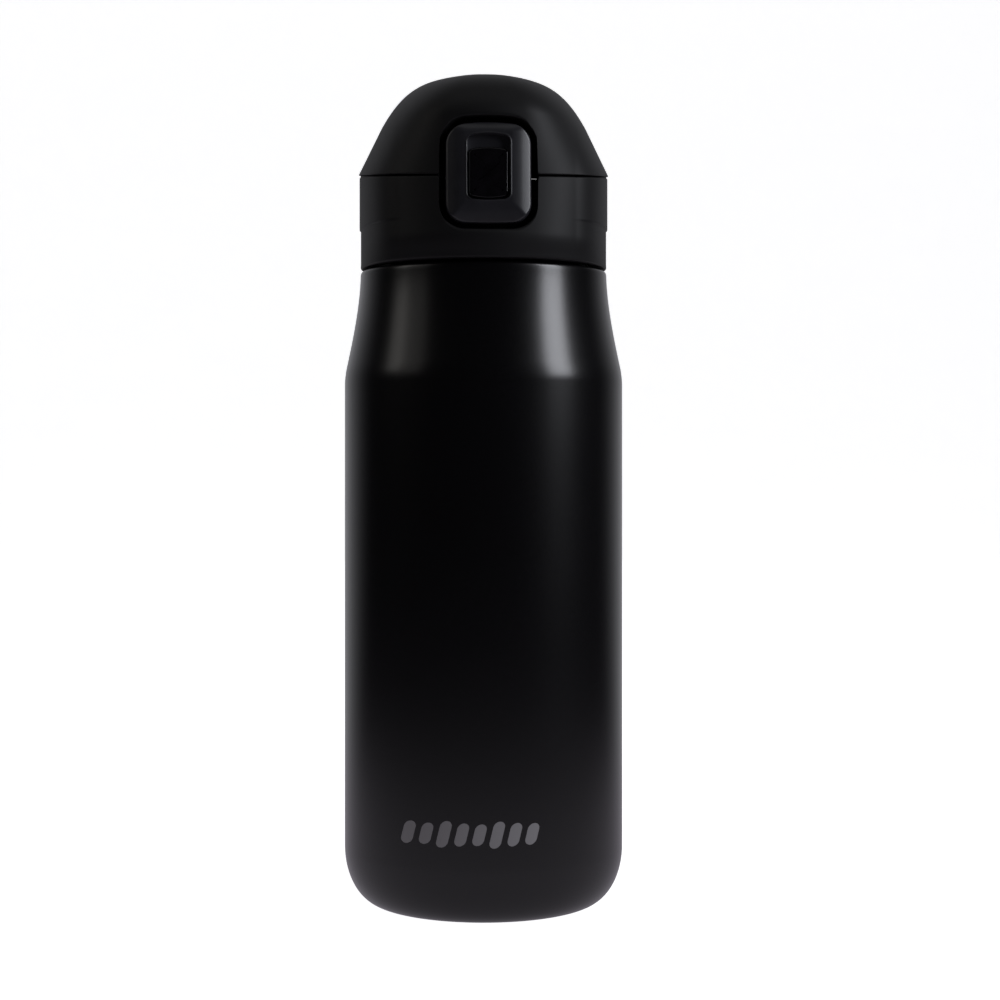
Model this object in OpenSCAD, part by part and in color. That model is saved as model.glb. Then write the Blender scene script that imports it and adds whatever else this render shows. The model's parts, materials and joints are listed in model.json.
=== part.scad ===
// Vacuum flask with a one-touch flip lid, as an assembly of separate pieces.
// Millimetres. +Z runs up the flask's axis from the centre of the base, and the button faces -Y.

/* [Bottle] */
// Outside diameter of the straight body
body_d = 72; // [62:0.5:90]
// Height of the straight wall's top edge, where the shoulder starts
shoulder_z = 136; // [110:1:220]
// Height of the shoulder from that edge up to the gap under the lid
shoulder_h = 27.2; // [22:0.2:40]
// Diameter of the shoulder where it meets the lid
shoulder_top_d = 63.8; // [60:0.2:70]
// Height of the rounded base corner
corner_h = 14.8; // [8:0.2:22]
// Width of the rounded base corner
corner_w = 9.5; // [5:0.1:14]
// Steel sheet thickness of the outer and inner walls
steel_t = 0.5; // [0.4:0.1:1]
// Width of the vacuum gap between the two walls
vacuum_gap = 2.6; // [1.8:0.1:4]
// Inside diameter of the drinking neck
mouth_d = 44; // [36:0.5:46]
// Height of the neck above the shoulder
neck_h = 14.6; // [13.6:0.2:18]

/* [Base] */
// Height that the base plate is pushed up above the foot
base_recess = 3.4; // [2.6:0.1:5]
// Width of the foot ring's flange
foot_flange = 4.5; // [3:0.1:6]
// Space between the base plate and the inner vessel
base_gap = 4; // [3.4:0.1:8]
// Radius of the getter capsule
getter_r = 5; // [3:0.1:7]

/* [Screw thread] */
// Rise in one turn of the lid
thread_pitch = 4; // [3.4:0.1:5]
// Turns of thread on the neck
neck_turns = 1.5; // [1:0.25:1.75]
// Turns of thread in the stopper
stopper_turns = 1.25; // [0.75:0.25:1.5]
// Height of the thread's ridge above the wall it stands on
thread_depth = 1.1; // [0.9:0.05:1.3]
// Radial room between the ridge's crest and the wall opposite
thread_clear = 0.6; // [0.4:0.05:0.8]

/* [Lid] */
// How far the collar's lower band stands in from the shoulder's top edge
collar_inset = 0.05; // [0:0.05:0.4]
// How far the collar's upper band stands proud of the lower one
collar_step = 0.5; // [0.2:0.1:0.8]
// Height of the collar's lower band
band_h = 11; // [8:0.2:13]
// Height of the seam between collar and dome, on the axis
seam_rise = 24.2; // [23.2:0.1:27]
// Forward slope of the seam in degrees
seam_tilt = 7; // [4:0.5:9]
// Gap of the seam between collar and dome
seam_gap = 0.45; // [0.3:0.05:0.8]
// How far the dome's lower edge stands out past the collar's upper band
dome_lip = 0.25; // [0.1:0.05:0.6]
// Height of the dome above the seam
dome_h = 26.4; // [25.4:0.1:30]
// Height of the dome's straight flank
flank_h = 12.4; // [11.4:0.1:14]
// Slope of the dome's flank from upright in degrees
flank_angle = 26.5; // [24:0.5:28]
// Wall of the collar and dome mouldings
lid_wall = 1.9; // [1.6:0.1:2.2]
// Wall of the stopper's threaded skirt
skirt_t = 1.5; // [1.3:0.1:1.8]
// Thickness of the stopper's deck
deck_t = 2; // [1.6:0.1:2.4]
// Air between the underside of the collar and the shoulder
collar_air = 0.6; // [0.4:0.1:1]

/* [Spout] */
// Outside diameter of the spout
spout_d = 24; // [20:0.5:26]
// Wall of the spout
spout_t = 2; // [1.6:0.1:2.4]
// How far the spout stands forward of the axis
spout_forward = 4; // [2:0.5:5]
// Height of the spout's rim above the seam plane
spout_rim_h = 10.4; // [9:0.1:10.8]
// Radius of the air vent behind the spout
vent_r = 1; // [0.6:0.1:1.4]
// Height of the gaskets' cross-section
gasket_t = 2; // [1.6:0.1:2.4]

/* [Button] */
// Width of the push button
button_w = 20.5; // [17:0.1:22]
// Height of the push button
button_h = 25.2; // [22:0.1:27]
// Corner radius of the push button
button_r = 4.6; // [3:0.1:6]
// Gap between the button and the well's side walls
well_gap = 1.6; // [1.2:0.1:2]
// Reach of the well's front face from the flask's axis
button_reach = 33.3; // [32.5:0.1:34]
// Height of the button's centre above the collar's lower edge
button_rise = 20.2; // [19.6:0.1:21]
// Backward lean of the button in degrees
button_lean = 4; // [2:0.5:6]
// Height of the button's raised centre above its edge
button_raise = 1.9; // [1.2:0.1:2.4]
// Width of the raised rim around the slot
slot_rim = 0.6; // [0.4:0.1:1]
// Width of the slot for the lock slider
slot_w = 10.7; // [9:0.1:12]
// Height of the slot for the lock slider
slot_h = 16.6; // [15:0.1:18]
// Height of the lock slider
slider_h = 12.9; // [12:0.1:13.5]
// Travel of the lock slider
slider_travel = 2.9; // [2:0.1:3]
// Distance from the well's front face back to the button's pivot
pivot_depth = 6.6; // [6:0.1:7]
// Radius of the button's pivot pin
button_pin_r = 1; // [0.8:0.1:1.2]

/* [Hinge] */
// Radius of the hinge knuckles
knuckle_r = 3.1; // [2.9:0.1:3.2]
// Radius of the hinge pin
hinge_pin_r = 1.1; // [0.9:0.1:1.3]
// Width of the collar's middle knuckle
knuckle_w = 18; // [14:0.5:20]
// Width of each of the dome's hinge arms
arm_w = 4; // [3:0.2:5]
// Distance that the hinge axis lies below the seam plane
hinge_drop = 2.4; // [2:0.1:3]
// Radius of the springs' wire
wire_r = 0.35; // [0.25:0.05:0.4]

/* [Fits] */
// Air between pieces that move past each other
air = 0.3; // [0.25:0.05:0.4]
// Radial clearance of a turning pin in its bore
running_fit = 0.06; // [0.03:0.01:0.1]

/* [Hidden] */
$fn = 96;

body_r = body_d / 2;
foot_r = body_r - corner_w;
shoulder_top_z = shoulder_z + shoulder_h;
shoulder_top_r = shoulder_top_d / 2;
vessel_r = body_r - steel_t - vacuum_gap;
mouth_r = mouth_d / 2;
neck_gap = 1;
neck_r = mouth_r + 2 * steel_t + neck_gap;
lip_z = shoulder_top_z + neck_h;
plate_top_z = base_recess + steel_t;
vessel_z = plate_top_z + base_gap;
base_joint_h = 7;
curve_steps = 12;

collar_z = shoulder_top_z + collar_air;
collar_r = shoulder_top_r - collar_inset;
band_r = collar_r + collar_step;
dome_r = band_r + dome_lip;
seam_z = collar_z + seam_rise;
crest_r = neck_r + thread_depth;
skirt_in_r = crest_r + thread_clear;
skirt_r = skirt_in_r + skirt_t;
deck_z = lip_z + 1;
deck_top = deck_z + deck_t;
flange_r = collar_r - lid_wall;
skirt_z = collar_z + 0.4;
ridge_foot = 0.85;
female_z = skirt_z + ridge_foot + 0.1;
male_z = female_z + thread_pitch / 2;

spout_r = spout_d / 2;
bore_r = spout_r - spout_t;
plug_z = deck_z - 4.5;
plug_r = mouth_r - air - 1.3;
gasket_lip = 0.6;
liner_z = spout_rim_h + 2.2;
liner_t = 1.6;
liner_r = 23;
screw_ring = 18.6;
screw_r = 1.1;
screw_head_r = 2;
screw_head_h = 1.2;
boss_r = 2.6;
seal_y = (spout_rim_h * sin(seam_tilt) - spout_forward) / cos(seam_tilt);
seal_r = spout_r + 1;
seal_stem_r = 3;

button_z = collar_z + button_rise;
plate_front = -1;
plate_back = -3.4;
slot_floor = -1.5;
slot_up = 1.2;
slider_top = 0.3;
slider_w = slot_w - 0.9;
slider_low = -slot_h / 2 + slot_up + 0.4;
stem_w = 2.6;
stem_h = 3.4;
stem_v = slider_low + slider_h / 2 - 0.35;
bolt_front = plate_back - air;
bolt_t = 1;
bolt_low = stem_v - stem_h / 2;
bolt_high = 2.8;
ear_in = slot_w / 2 + 0.45;
ear_out = ear_in + 2.4;
post_t = 2;
post_r = 1.9;
hook_v = 6.5;
hook_t = 3;
hook_w = 9;
hook_depth = 7.4;
well_w = button_w + 2 * well_gap;
well_h = button_h + 2 * well_gap - 0.4;
well_r = button_r + 1;
well_rise = 0.9;
mound_wall = 3;
well_depth = 9.6;
mound_r = dome_r + 3;

hinge_y = dome_r + 0.2;
hinge_z = seam_z + (hinge_y * sin(seam_tilt) - hinge_drop) / cos(seam_tilt);
pocket_r = 2.5;
pocket_w = 9;
arm_in = knuckle_w / 2 + air;
arm_out = arm_in + arm_w;
far = 200;

thread_steps = 30;
ridge_root = 0.35;
crest_half = 0.35;
coil_steps = 16;
wire_sides = 6;
overshoot = 1;
body_reach = 60;
cut_reach = 8;
mound_depth = 10;
dome_curve_pull = 12.5;
dome_curve_lean = 3;
dome_curve_mid = 14.5;

joint_gap = 0.1;
shoulder_soft = 0.8;
shoulder_in = 1.1;
shoulder_mid_in = 0.2;
vessel_bend = 6;
vessel_top = 18;
vessel_top_end = 4;
neck_step = 0.5;
foot_ring_gap = 0.5;
recess_ring_gap = 0.8;
recess_slope = 1.4;
recess_fillet = 0.6;
port_r = 1.5;
seal_head_r = 2.4;
seal_head_h = 0.5;
cover_t = 0.8;
cover_gap = 3.4;
cover_bevel = 0.4;
getter_x = 12;
getter_h = 1;
getter_core_h = 2;
getter_step = 1.2;
foil_t = 0.2;
foil_low = 2;
foil_short = 10;

skirt_gap = 0.15;
well_side_gap = 1.2;
well_floor_back = 4.9;
post_drop = 8;
weld_depth = 0.5;
foot_lip = 0.15;
foot_lip_h = 1.2;
step_h = 0.5;
collar_over = 8;
boss_reach = 8;
arm_relief = 0.9;
plug_step = 1;
plug_neck = 2;
lip_ring_up = 0.9;
lip_ring_h = 0.8;
mouth_ring_squash = 0.05;
mouth_ring_out = 0.4;
mouth_ring_in = 1;
pin_short = 0.6;
lid_coil_turns = 7;
coil_side_air = 0.2;
press_coil_v = -8.2;
press_coil_r = 1.9;
press_coil_turns = 3;
press_coil_back_air = 0.15;
press_coil_front_air = 0.1;
screw_hole_over = 4.6;
screw_over = 4.4;
screw_slot_w = 0.6;
screw_slot_l = 2.8;
screw_slot_z = 0.6;
seal_ring_h = 1.4;
seal_ring_t = 1.4;
seal_ring_air = 0.1;
seal_button_h = 1;
seal_button_out = 1.2;
catch_v = 4.4;
catch_l = 14;
catch_t = 1;
catch_drop = 1.8;
catch_lip_l = 1.8;
catch_lip_t = 0.55;
catch_lip_drop = 0.8;
skin_t = 0.05;
coarse = 32;
face_corner = 1.6;
slot_corner = 1.3;
slot_depth = 10;
stem_cut = 5;
slider_corner = 1;
slider_top_corner = 0.6;
slider_slope_h = 0.5;
slider_slope_w = 1.4;
bolt_w = 9;

function bezier(a, b, c, d, t) =
    a * pow(1 - t, 3) + 3 * b * t * pow(1 - t, 2) + 3 * c * t * t * (1 - t) + d * pow(t, 3);
function curve(a, b, c, d) = [for (i = [0:curve_steps]) bezier(a, b, c, d, i / curve_steps)];
function turned(points) = [for (i = [len(points) - 1:-1:0]) points[i]];

// Outline of the outer shell from the foot to the neck, drawn inset by the sheet thickness.
function corner_line(inset) = [for (i = [0:curve_steps])
    let (a = 90 * i / curve_steps)
    [foot_r + (corner_w - inset) * sin(a), corner_h - (corner_h - inset) * cos(a)]];
function shoulder_line(inset) = curve(
    [body_r - inset, shoulder_z], [body_r - shoulder_in - inset, shoulder_z + 0.2 * shoulder_h],
    [shoulder_top_r + shoulder_mid_in - inset, shoulder_z + 0.62 * shoulder_h],
    [shoulder_top_r - inset, shoulder_top_z - shoulder_soft - inset]);
function shell_line(inset) = concat(corner_line(inset), shoulder_line(inset),
    [[shoulder_top_r - neck_step - inset, shoulder_top_z - inset], [neck_r - inset, shoulder_top_z - inset],
    [neck_r - inset, lip_z - steel_t]]);

// Outline of the inner vessel's wall from its lower edge to the lip.
function vessel_line(inset) = concat([[vessel_r - inset, vessel_z + base_joint_h]],
    curve([vessel_r - inset, shoulder_z - vessel_bend], [vessel_r - inset, shoulder_z + vessel_bend],
    [mouth_r + steel_t - inset, shoulder_top_z - vessel_top],
    [mouth_r + steel_t - inset, shoulder_top_z - vessel_top_end]),
    [[mouth_r + steel_t - inset, lip_z - steel_t]]);

// A ridge of trapezoid section that climbs one pitch a turn. side is 1 for outward, -1 for inward.
module ridge(wall_r, z, turns, side) {
    steps = ceil(thread_steps * turns);
    root = wall_r - side * ridge_root;
    crest = wall_r + side * thread_depth;
    section = [[root, -ridge_foot], [crest, -crest_half], [crest, crest_half], [root, ridge_foot]];
    points = [for (i = [0:steps]) let (a = 360 * turns * i / steps)
        for (p = section) [p[0] * cos(a), p[0] * sin(a), z + thread_pitch * a / 360 + p[1]]];
    sides = [for (i = [0:steps - 1]) for (k = [0:3]) let (a = 4 * i + k, b = 4 * i + (k + 1) % 4)
        for (f = [[a, b, a + 4], [b, b + 4, a + 4]]) f];
    caps = [[3, 2, 1, 0], [for (k = [0:3]) 4 * steps + k]];
    faces = concat(sides, caps);
    polyhedron(points, side > 0 ? faces : [for (f = faces) turned(f)]);
}

// A round wire wound into a coil along +Z, starting at z = 0.
module coil(mean_r, length, turns) {
    around = wire_sides;
    steps = coil_steps * turns;
    points = [for (i = [0:steps]) let (a = 360 * turns * i / steps)
        for (k = [0:around - 1]) let (b = 360 * k / around, r = mean_r + wire_r * cos(b))
        [r * cos(a), r * sin(a), wire_r + (length - 2 * wire_r) * i / steps + wire_r * sin(b)]];
    sides = [for (i = [0:steps - 1]) for (k = [0:around - 1])
        let (a = around * i + k, b = around * i + (k + 1) % around)
        for (f = [[a, a + around, b], [b, a + around, b + around]]) f];
    caps = [[for (k = [0:around - 1]) k], [for (k = [around - 1:-1:0]) around * steps + k]];
    polyhedron(points, concat(sides, caps));
}

// A rectangle with rounded corners, centred.
module rounded(w, h, r) {
    square([w - 2 * r, h], center = true);
    square([w, h - 2 * r], center = true);
    for (x = [-1, 1], y = [-1, 1]) translate([x * (w / 2 - r), y * (h / 2 - r)]) circle(r);
}

// A rounded rectangle whose upper edge is arched by rise.
module arched(w, h, r, rise) {
    arc_r = (w * w / 4 + rise * rise) / (2 * rise);
    intersection() {
        rounded(w, h, r);
        translate([0, h / 2 - arc_r]) circle(arc_r);
    }
}

// Local frame of the button: x across, y up its face, z outward from the well's front face.
module in_button_frame() {
    translate([0, -button_reach, button_z]) rotate([90 - button_lean, 0, 0]) children();
}

// Local frame of the lid: its XY plane is the seam, its Z the dome's own axis.
module in_lid_frame() {
    translate([0, 0, seam_z]) rotate([seam_tilt, 0, 0]) children();
}

// A slab that is everything above (or below) a height in the lid's frame.
module lid_space(low, high) {
    in_lid_frame() translate([-far / 2, -far / 2, low]) cube([far, far, high - low]);
}

module well_cut() {
    in_button_frame() translate([0, 0, -well_depth])
        linear_extrude(well_depth + cut_reach) arched(well_w, well_h, well_r, well_rise);
}

// The raised housing around the well, shared by collar and dome.
module mound() {
    in_button_frame() translate([0, 0, -mound_depth]) linear_extrude(mound_depth)
        arched(well_w + 2 * mound_wall, well_h + 2 * mound_wall, well_r + mound_wall, 2 * well_rise);
}

function dome_line(inset) = let (edge = dome_r - inset / cos(flank_angle), top = dome_h - inset,
    knee = [edge - flank_h * tan(flank_angle), flank_h])
    concat([[edge, 0]], curve(knee,
    knee + dome_curve_pull * [-sin(flank_angle + dome_curve_lean), cos(flank_angle + dome_curve_lean)],
    [dome_curve_mid, top], [0, top]));

module dome_solid(inset) {
    in_lid_frame() rotate_extrude() polygon(concat([[0, -0.01], [dome_line(inset)[0][0], -0.01]],
        dome_line(inset)));
}

module outer_shell() {
    color([0.06, 0.06, 0.065]) {
        rotate_extrude() polygon(concat([[foot_r - foot_flange, 0]], shell_line(0),
            turned(shell_line(steel_t)), [[foot_r - foot_flange, steel_t]]));
        ridge(neck_r, male_z, neck_turns, 1);
    }
}

module inner_vessel() {
    color([0.72, 0.72, 0.73]) rotate_extrude() polygon(concat(vessel_line(0),
        [[neck_r, lip_z - steel_t], [neck_r, lip_z], [mouth_r, lip_z]],
        turned([for (p = vessel_line(steel_t)) if (p[1] < lip_z - steel_t) p])));
}

module inner_base() {
    round_r = base_joint_h;
    function cup(inset) = [for (i = [0:curve_steps]) let (a = 90 * i / curve_steps)
        [vessel_r - round_r + (round_r - inset) * sin(a),
        vessel_z + round_r - (round_r - inset) * cos(a)]];
    color([0.72, 0.72, 0.73]) rotate_extrude() polygon(concat([[0, vessel_z]], cup(0),
        turned(cup(steel_t)), [[0, vessel_z + steel_t]]));
}

module base_plate() {
    rim = foot_r - foot_ring_gap;
    step = foot_r - foot_flange - recess_ring_gap;
    color([0.5, 0.5, 0.52]) rotate_extrude() polygon([[rim, steel_t], [rim, 2 * steel_t],
        [step + recess_fillet, 2 * steel_t], [step - recess_slope, plate_top_z], [port_r, plate_top_z],
        [port_r, base_recess], [step - recess_slope - 0.4, base_recess], [step, steel_t]]);
}

module vacuum_seal() {
    color([0.35, 0.36, 0.34]) translate([0, 0, base_recess + joint_gap]) {
        cylinder(h = steel_t + 0.3, r = port_r);
        translate([0, 0, steel_t - joint_gap]) cylinder(h = seal_head_h, r = seal_head_r);
    }
}

module base_cover() {
    cover_r = foot_r - foot_flange - cover_gap;
    color([0.1, 0.1, 0.11]) rotate_extrude() polygon([[0, base_recess - cover_t],
        [cover_r - cover_bevel, base_recess - cover_t], [cover_r, base_recess - cover_bevel],
        [cover_r, base_recess],
        [0, base_recess]]);
}

module getter() {
    color([0.6, 0.58, 0.5]) translate([getter_x, 0, vessel_z]) mirror([0, 0, 1]) {
        cylinder(h = getter_h, r = getter_r);
        cylinder(h = getter_core_h, r = getter_r - getter_step);
    }
}

module heat_foil() {
    color([0.8, 0.62, 0.45]) translate([0, 0, vessel_z + base_joint_h + foil_low]) difference() {
        height = shoulder_z - vessel_z - base_joint_h - foil_short;
        cylinder(h = height, r = vessel_r + air + foil_t);
        translate([0, 0, -overshoot]) cylinder(h = height + 2 * overshoot, r = vessel_r + air);
    }
}

module stopper_body() {
    color([0.12, 0.12, 0.13]) {
        difference() {
            union() {
                translate([0, 0, skirt_z]) cylinder(h = deck_top - skirt_z, r = skirt_r);
                translate([0, 0, deck_z]) cylinder(h = deck_t, r = flange_r);
                stopper_posts();
            }
            translate([0, 0, skirt_z - overshoot]) cylinder(h = deck_z - skirt_z + overshoot, r = skirt_in_r);
            translate([0, -spout_forward, deck_z - overshoot])
                cylinder(h = deck_t + 2 * overshoot, r = spout_r + skirt_gap);
            translate([0, spout_r, deck_z - overshoot]) cylinder(h = deck_t + 2 * overshoot, r = vent_r);
            translate([-button_w / 2 - well_side_gap, well_floor_back - far - button_reach,
                deck_z - overshoot]) cube([button_w + 2 * well_side_gap, far, deck_t + 2 * overshoot]);
            in_button_frame() translate([0, 0, -pivot_depth]) rotate([0, 90, 0])
                cylinder(h = far, r = button_pin_r, center = true);
        }
        ridge(skirt_in_r, female_z, stopper_turns, -1);
    }
}

// The two posts that carry the button's pin.
module stopper_posts() {
    for (side = [-1, 1]) translate([side * (ear_out + air + post_t / 2), 0, 0]) intersection() {
        in_button_frame() translate([0, 0, -pivot_depth]) {
            rotate([0, 90, 0]) cylinder(h = post_t, r = post_r, center = true);
            translate([-post_t / 2, -post_drop, -post_r]) cube([post_t, post_drop, 2 * post_r]);
        }
        translate([-side * (ear_out + air + post_t / 2), 0, deck_top - weld_depth])
            cylinder(h = far, r = flange_r - running_fit);
    }
}

module collar_profile(inset) {
    top = seam_z + collar_over;
    polygon([[0, collar_z], [collar_r + foot_lip - inset, collar_z],
        [collar_r - inset, collar_z + foot_lip_h], [collar_r - inset, collar_z + band_h],
        [band_r - inset, collar_z + band_h + step_h],
        [dome_r - 0.2 - inset, top], [0, top]]);
}

module collar_shell() {
    color([0.07, 0.07, 0.075]) {
        difference() {
            union() {
                difference() {
                    union() {
                        rotate_extrude() collar_profile(0);
                        intersection() {
                            mound();
                            translate([0, 0, collar_z]) cylinder(h = body_reach, r = mound_r);
                        }
                    }
                    rotate_extrude() translate([0, -overshoot])
                        square([collar_r - lid_wall, body_reach + collar_z]);
                    lid_space(-seam_gap / 2, far);
                }
                rear_boss();
            }
            well_cut();
            hinge_reliefs();
        }
    }
}

// The middle knuckle, its foot on the collar, and the spring's pocket in it.
module rear_boss() {
    difference() {
        intersection() {
            translate([0, hinge_y, hinge_z]) rotate([0, 90, 0]) {
                cylinder(h = knuckle_w, r = knuckle_r, center = true);
                translate([0, -knuckle_r, -knuckle_w / 2]) cube([boss_reach, 2 * knuckle_r - 1, knuckle_w]);
                translate([0, -knuckle_r - 1, -knuckle_w / 2]) cube([boss_reach, knuckle_r + 1, knuckle_w]);
            }
            translate([0, 0, collar_z]) cylinder(h = body_reach, r = hinge_y + knuckle_r);
        }
        translate([0, 0, collar_z]) cylinder(h = body_reach, r = collar_r - lid_wall);
        translate([0, hinge_y, hinge_z - boss_reach]) rotate([0, 90, 0])
            cylinder(h = far, r = knuckle_r, center = true);
    }
}

module hinge_reliefs() {
    translate([0, hinge_y, hinge_z]) rotate([0, 90, 0]) {
        cylinder(h = far, r = hinge_pin_r, center = true);
        cylinder(h = pocket_w, r = pocket_r, center = true);
        for (side = [-1, 1]) translate([0, 0, side * (arm_in + arm_w / 2)])
            cylinder(h = arm_w + 2 * air, r = knuckle_r + arm_relief, center = true);
    }
}

module spout() {
    color([0.14, 0.14, 0.15]) difference() {
        union() {
            translate([0, 0, plug_z]) cylinder(h = gasket_t, r = plug_r - plug_step);
            translate([0, 0, plug_z]) cylinder(h = gasket_lip, r = plug_r);
            translate([0, 0, plug_z + gasket_t])
                cylinder(h = deck_z - plug_z - gasket_t, r = plug_r - plug_neck);
            difference() {
                translate([0, -spout_forward, plug_z]) cylinder(h = far, r = spout_r);
                lid_space(spout_rim_h, 2 * far);
            }
        }
        translate([0, -spout_forward, plug_z - overshoot]) cylinder(h = far, r = bore_r);
        translate([0, spout_r, plug_z - overshoot]) cylinder(h = slot_depth, r = vent_r);
        ring(plug_z + gasket_lip, gasket_t - gasket_lip, plug_r - plug_step, mouth_r);
    }
}

module ring(z, h, low_r, high_r) {
    translate([0, 0, z]) rotate_extrude() translate([low_r, 0]) square([high_r - low_r, h]);
}

module spout_gasket() {
    color([0.75, 0.75, 0.74]) {
        ring(plug_z + gasket_lip, gasket_t - gasket_lip, plug_r - plug_step, plug_r);
        ring(plug_z + lip_ring_up, lip_ring_h, plug_r, mouth_r - air);
    }
}

module mouth_gasket() {
    color([0.75, 0.75, 0.74]) ring(lip_z + air,
        deck_z - lip_z - air - mouth_ring_squash, mouth_r - mouth_ring_in, neck_r + mouth_ring_out);
}

module hinge_pin() {
    color([0.75, 0.75, 0.76]) translate([0, hinge_y, hinge_z]) rotate([0, 90, 0])
        cylinder(h = 2 * (arm_out - pin_short), r = hinge_pin_r, center = true);
}

module lid_spring() {
    color([0.8, 0.8, 0.8]) translate([-pocket_w / 2 + air, hinge_y, hinge_z]) rotate([0, 90, 0])
        coil(pocket_r - wire_r - coil_side_air, pocket_w - 2 * air, lid_coil_turns);
}

module button_pin() {
    pin_l = 2 * (ear_out + air + post_t);
    color([0.75, 0.75, 0.76]) in_button_frame() translate([0, 0, -pivot_depth]) rotate([0, 90, 0])
        cylinder(h = pin_l, r = button_pin_r, center = true);
}

module button_spring() {
    v = press_coil_v;
    back = (button_reach - v * sin(button_lean) - skirt_r) / cos(button_lean) - press_coil_back_air;
    color([0.8, 0.8, 0.8]) in_button_frame() translate([0, v, -back])
        coil(press_coil_r, back + plate_back - press_coil_front_air, press_coil_turns);
}

module dome_shell() {
    color([0.07, 0.07, 0.075]) difference() {
        union() {
            difference() {
                union() {
                    dome_solid(0);
                    intersection() {
                        mound();
                        translate([0, 0, collar_z]) cylinder(h = body_reach, r = mound_r);
                    }
                }
                dome_solid(lid_wall);
                lid_space(-far, seam_gap / 2);
            }
            intersection() {
                in_lid_frame() for (a = [45:90:315]) rotate(a) translate([screw_ring, 0, liner_z + liner_t])
                    cylinder(h = mound_depth, r = boss_r);
                dome_solid(lid_wall / 2);
            }
            hinge_arms();
        }
        well_cut();
        translate([0, hinge_y, hinge_z]) rotate([0, 90, 0])
            cylinder(h = knuckle_w + 2 * air, r = knuckle_r + air, center = true);
        in_lid_frame() for (a = [45:90:315]) rotate(a) translate([screw_ring, 0, liner_z])
            cylinder(h = liner_t + screw_hole_over, r = screw_r);
    }
}

// The dome's two arms, which reach down over the seam to the hinge pin.
module hinge_arms() {
    for (side = [-1, 1]) translate([side * (arm_in + arm_w / 2), 0, 0]) difference() {
        union() {
            translate([0, hinge_y, hinge_z]) rotate([0, 90, 0])
                cylinder(h = arm_w, r = knuckle_r, center = true);
            translate([-arm_w / 2, 0, 0]) rotate([90, 0, 90]) linear_extrude(arm_w) polygon([
                [hinge_y - 2.9, hinge_z + 1.1], [hinge_y + 2.2, hinge_z + 2.2],
                [hinge_y - 4.2, hinge_z + 9.6], [hinge_y - 6.2, hinge_z + 7.6],
                [hinge_y - 4.6, hinge_z + 4]]);
        }
        translate([0, hinge_y, hinge_z]) rotate([0, 90, 0])
            cylinder(h = far, r = hinge_pin_r + running_fit, center = true);
    }
}

module dome_liner() {
    color([0.12, 0.12, 0.13]) in_lid_frame() difference() {
        union() {
            translate([0, 0, liner_z]) cylinder(h = liner_t, r = liner_r);
            translate([0, seal_y, liner_z - seal_ring_h]) difference() {
                cylinder(h = seal_ring_h, r = seal_r + seal_ring_t);
                translate([0, 0, -overshoot])
                    cylinder(h = seal_ring_h + 2 * overshoot, r = seal_r + seal_ring_air);
            }
        }
        translate([0, seal_y, liner_z - overshoot]) cylinder(h = liner_t + 2 * overshoot, r = seal_stem_r);
        for (a = [45:90:315]) rotate(a) translate([screw_ring, 0, liner_z - overshoot])
            cylinder(h = liner_t + 2 * overshoot, r = screw_r);
    }
}

module spout_seal() {
    seal_low = spout_rim_h + air;
    color([0.75, 0.75, 0.74]) in_lid_frame() translate([0, seal_y, 0]) {
        translate([0, 0, seal_low]) cylinder(h = liner_z - seal_low, r = seal_r);
        translate([0, 0, liner_z]) cylinder(h = liner_t, r = seal_stem_r);
        translate([0, 0, liner_z + liner_t]) cylinder(h = seal_button_h, r = seal_stem_r + seal_button_out);
    }
}

module catch_plate() {
    color([0.6, 0.6, 0.6]) difference() {
        in_button_frame() {
            translate([-hook_w / 2, catch_v, -hook_depth - catch_drop]) cube([hook_w, catch_l, catch_t]);
            translate([-hook_w / 2, catch_v, -hook_depth - catch_lip_drop])
                cube([hook_w, catch_lip_l, catch_lip_t]);
        }
        lid_space(liner_z, far);
    }
}

module liner_screws() {
    color([0.7, 0.7, 0.7]) in_lid_frame() for (a = [45:90:315]) rotate(a)
        translate([screw_ring, 0, liner_z]) {
            cylinder(h = liner_t + screw_over, r = screw_r);
            mirror([0, 0, 1]) difference() {
                cylinder(h = screw_head_h, r = screw_head_r);
                translate([-screw_slot_w / 2, -screw_slot_l / 2, screw_slot_z])
                    cube([screw_slot_w, screw_slot_l, overshoot]);
                translate([-screw_slot_l / 2, -screw_slot_w / 2, screw_slot_z])
                    cube([screw_slot_l, screw_slot_w, overshoot]);
            }
        }
}

module button() {
    color([0.16, 0.16, 0.17]) in_button_frame() difference() {
        union() {
            translate([0, 0, plate_back]) linear_extrude(plate_front - plate_back)
                arched(button_w, button_h, button_r, well_rise);
            hull() {
                translate([0, 0, plate_front - skin_t]) linear_extrude(skin_t)
                    arched(button_w, button_h, button_r, well_rise, $fn = coarse);
                translate([0, slot_up, plate_front + button_raise - skin_t]) linear_extrude(skin_t)
                    rounded(slot_w + 2 * slot_rim, slot_h + 2 * slot_rim, face_corner, $fn = coarse);
            }
            for (side = [-1, 1]) translate([side * (ear_in + ear_out) / 2, 0, 0])
                translate([0, 0, -pivot_depth]) rotate([0, 90, 0]) {
                    cylinder(h = ear_out - ear_in, r = post_r, center = true);
                    translate([-(pivot_depth + plate_back + 0.1) / 2, 0, 0])
                        cube([pivot_depth + plate_back + 0.1, 2 * post_r, ear_out - ear_in], center = true);
                }
            translate([-hook_w / 2, hook_v, -hook_depth])
                cube([hook_w, hook_t, hook_depth + plate_back + 0.1]);
        }
        translate([0, slot_up, slot_floor]) linear_extrude(slot_depth) rounded(slot_w, slot_h, slot_corner);
        translate([-stem_w / 2 - air, stem_v - stem_h / 2 - air, -stem_cut])
            cube([stem_w + 2 * air, stem_h + slider_travel + 2 * air, 2 * stem_cut]);
        translate([0, 0, -pivot_depth]) rotate([0, 90, 0])
            cylinder(h = far, r = button_pin_r + running_fit, center = true);
    }
}

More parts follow.
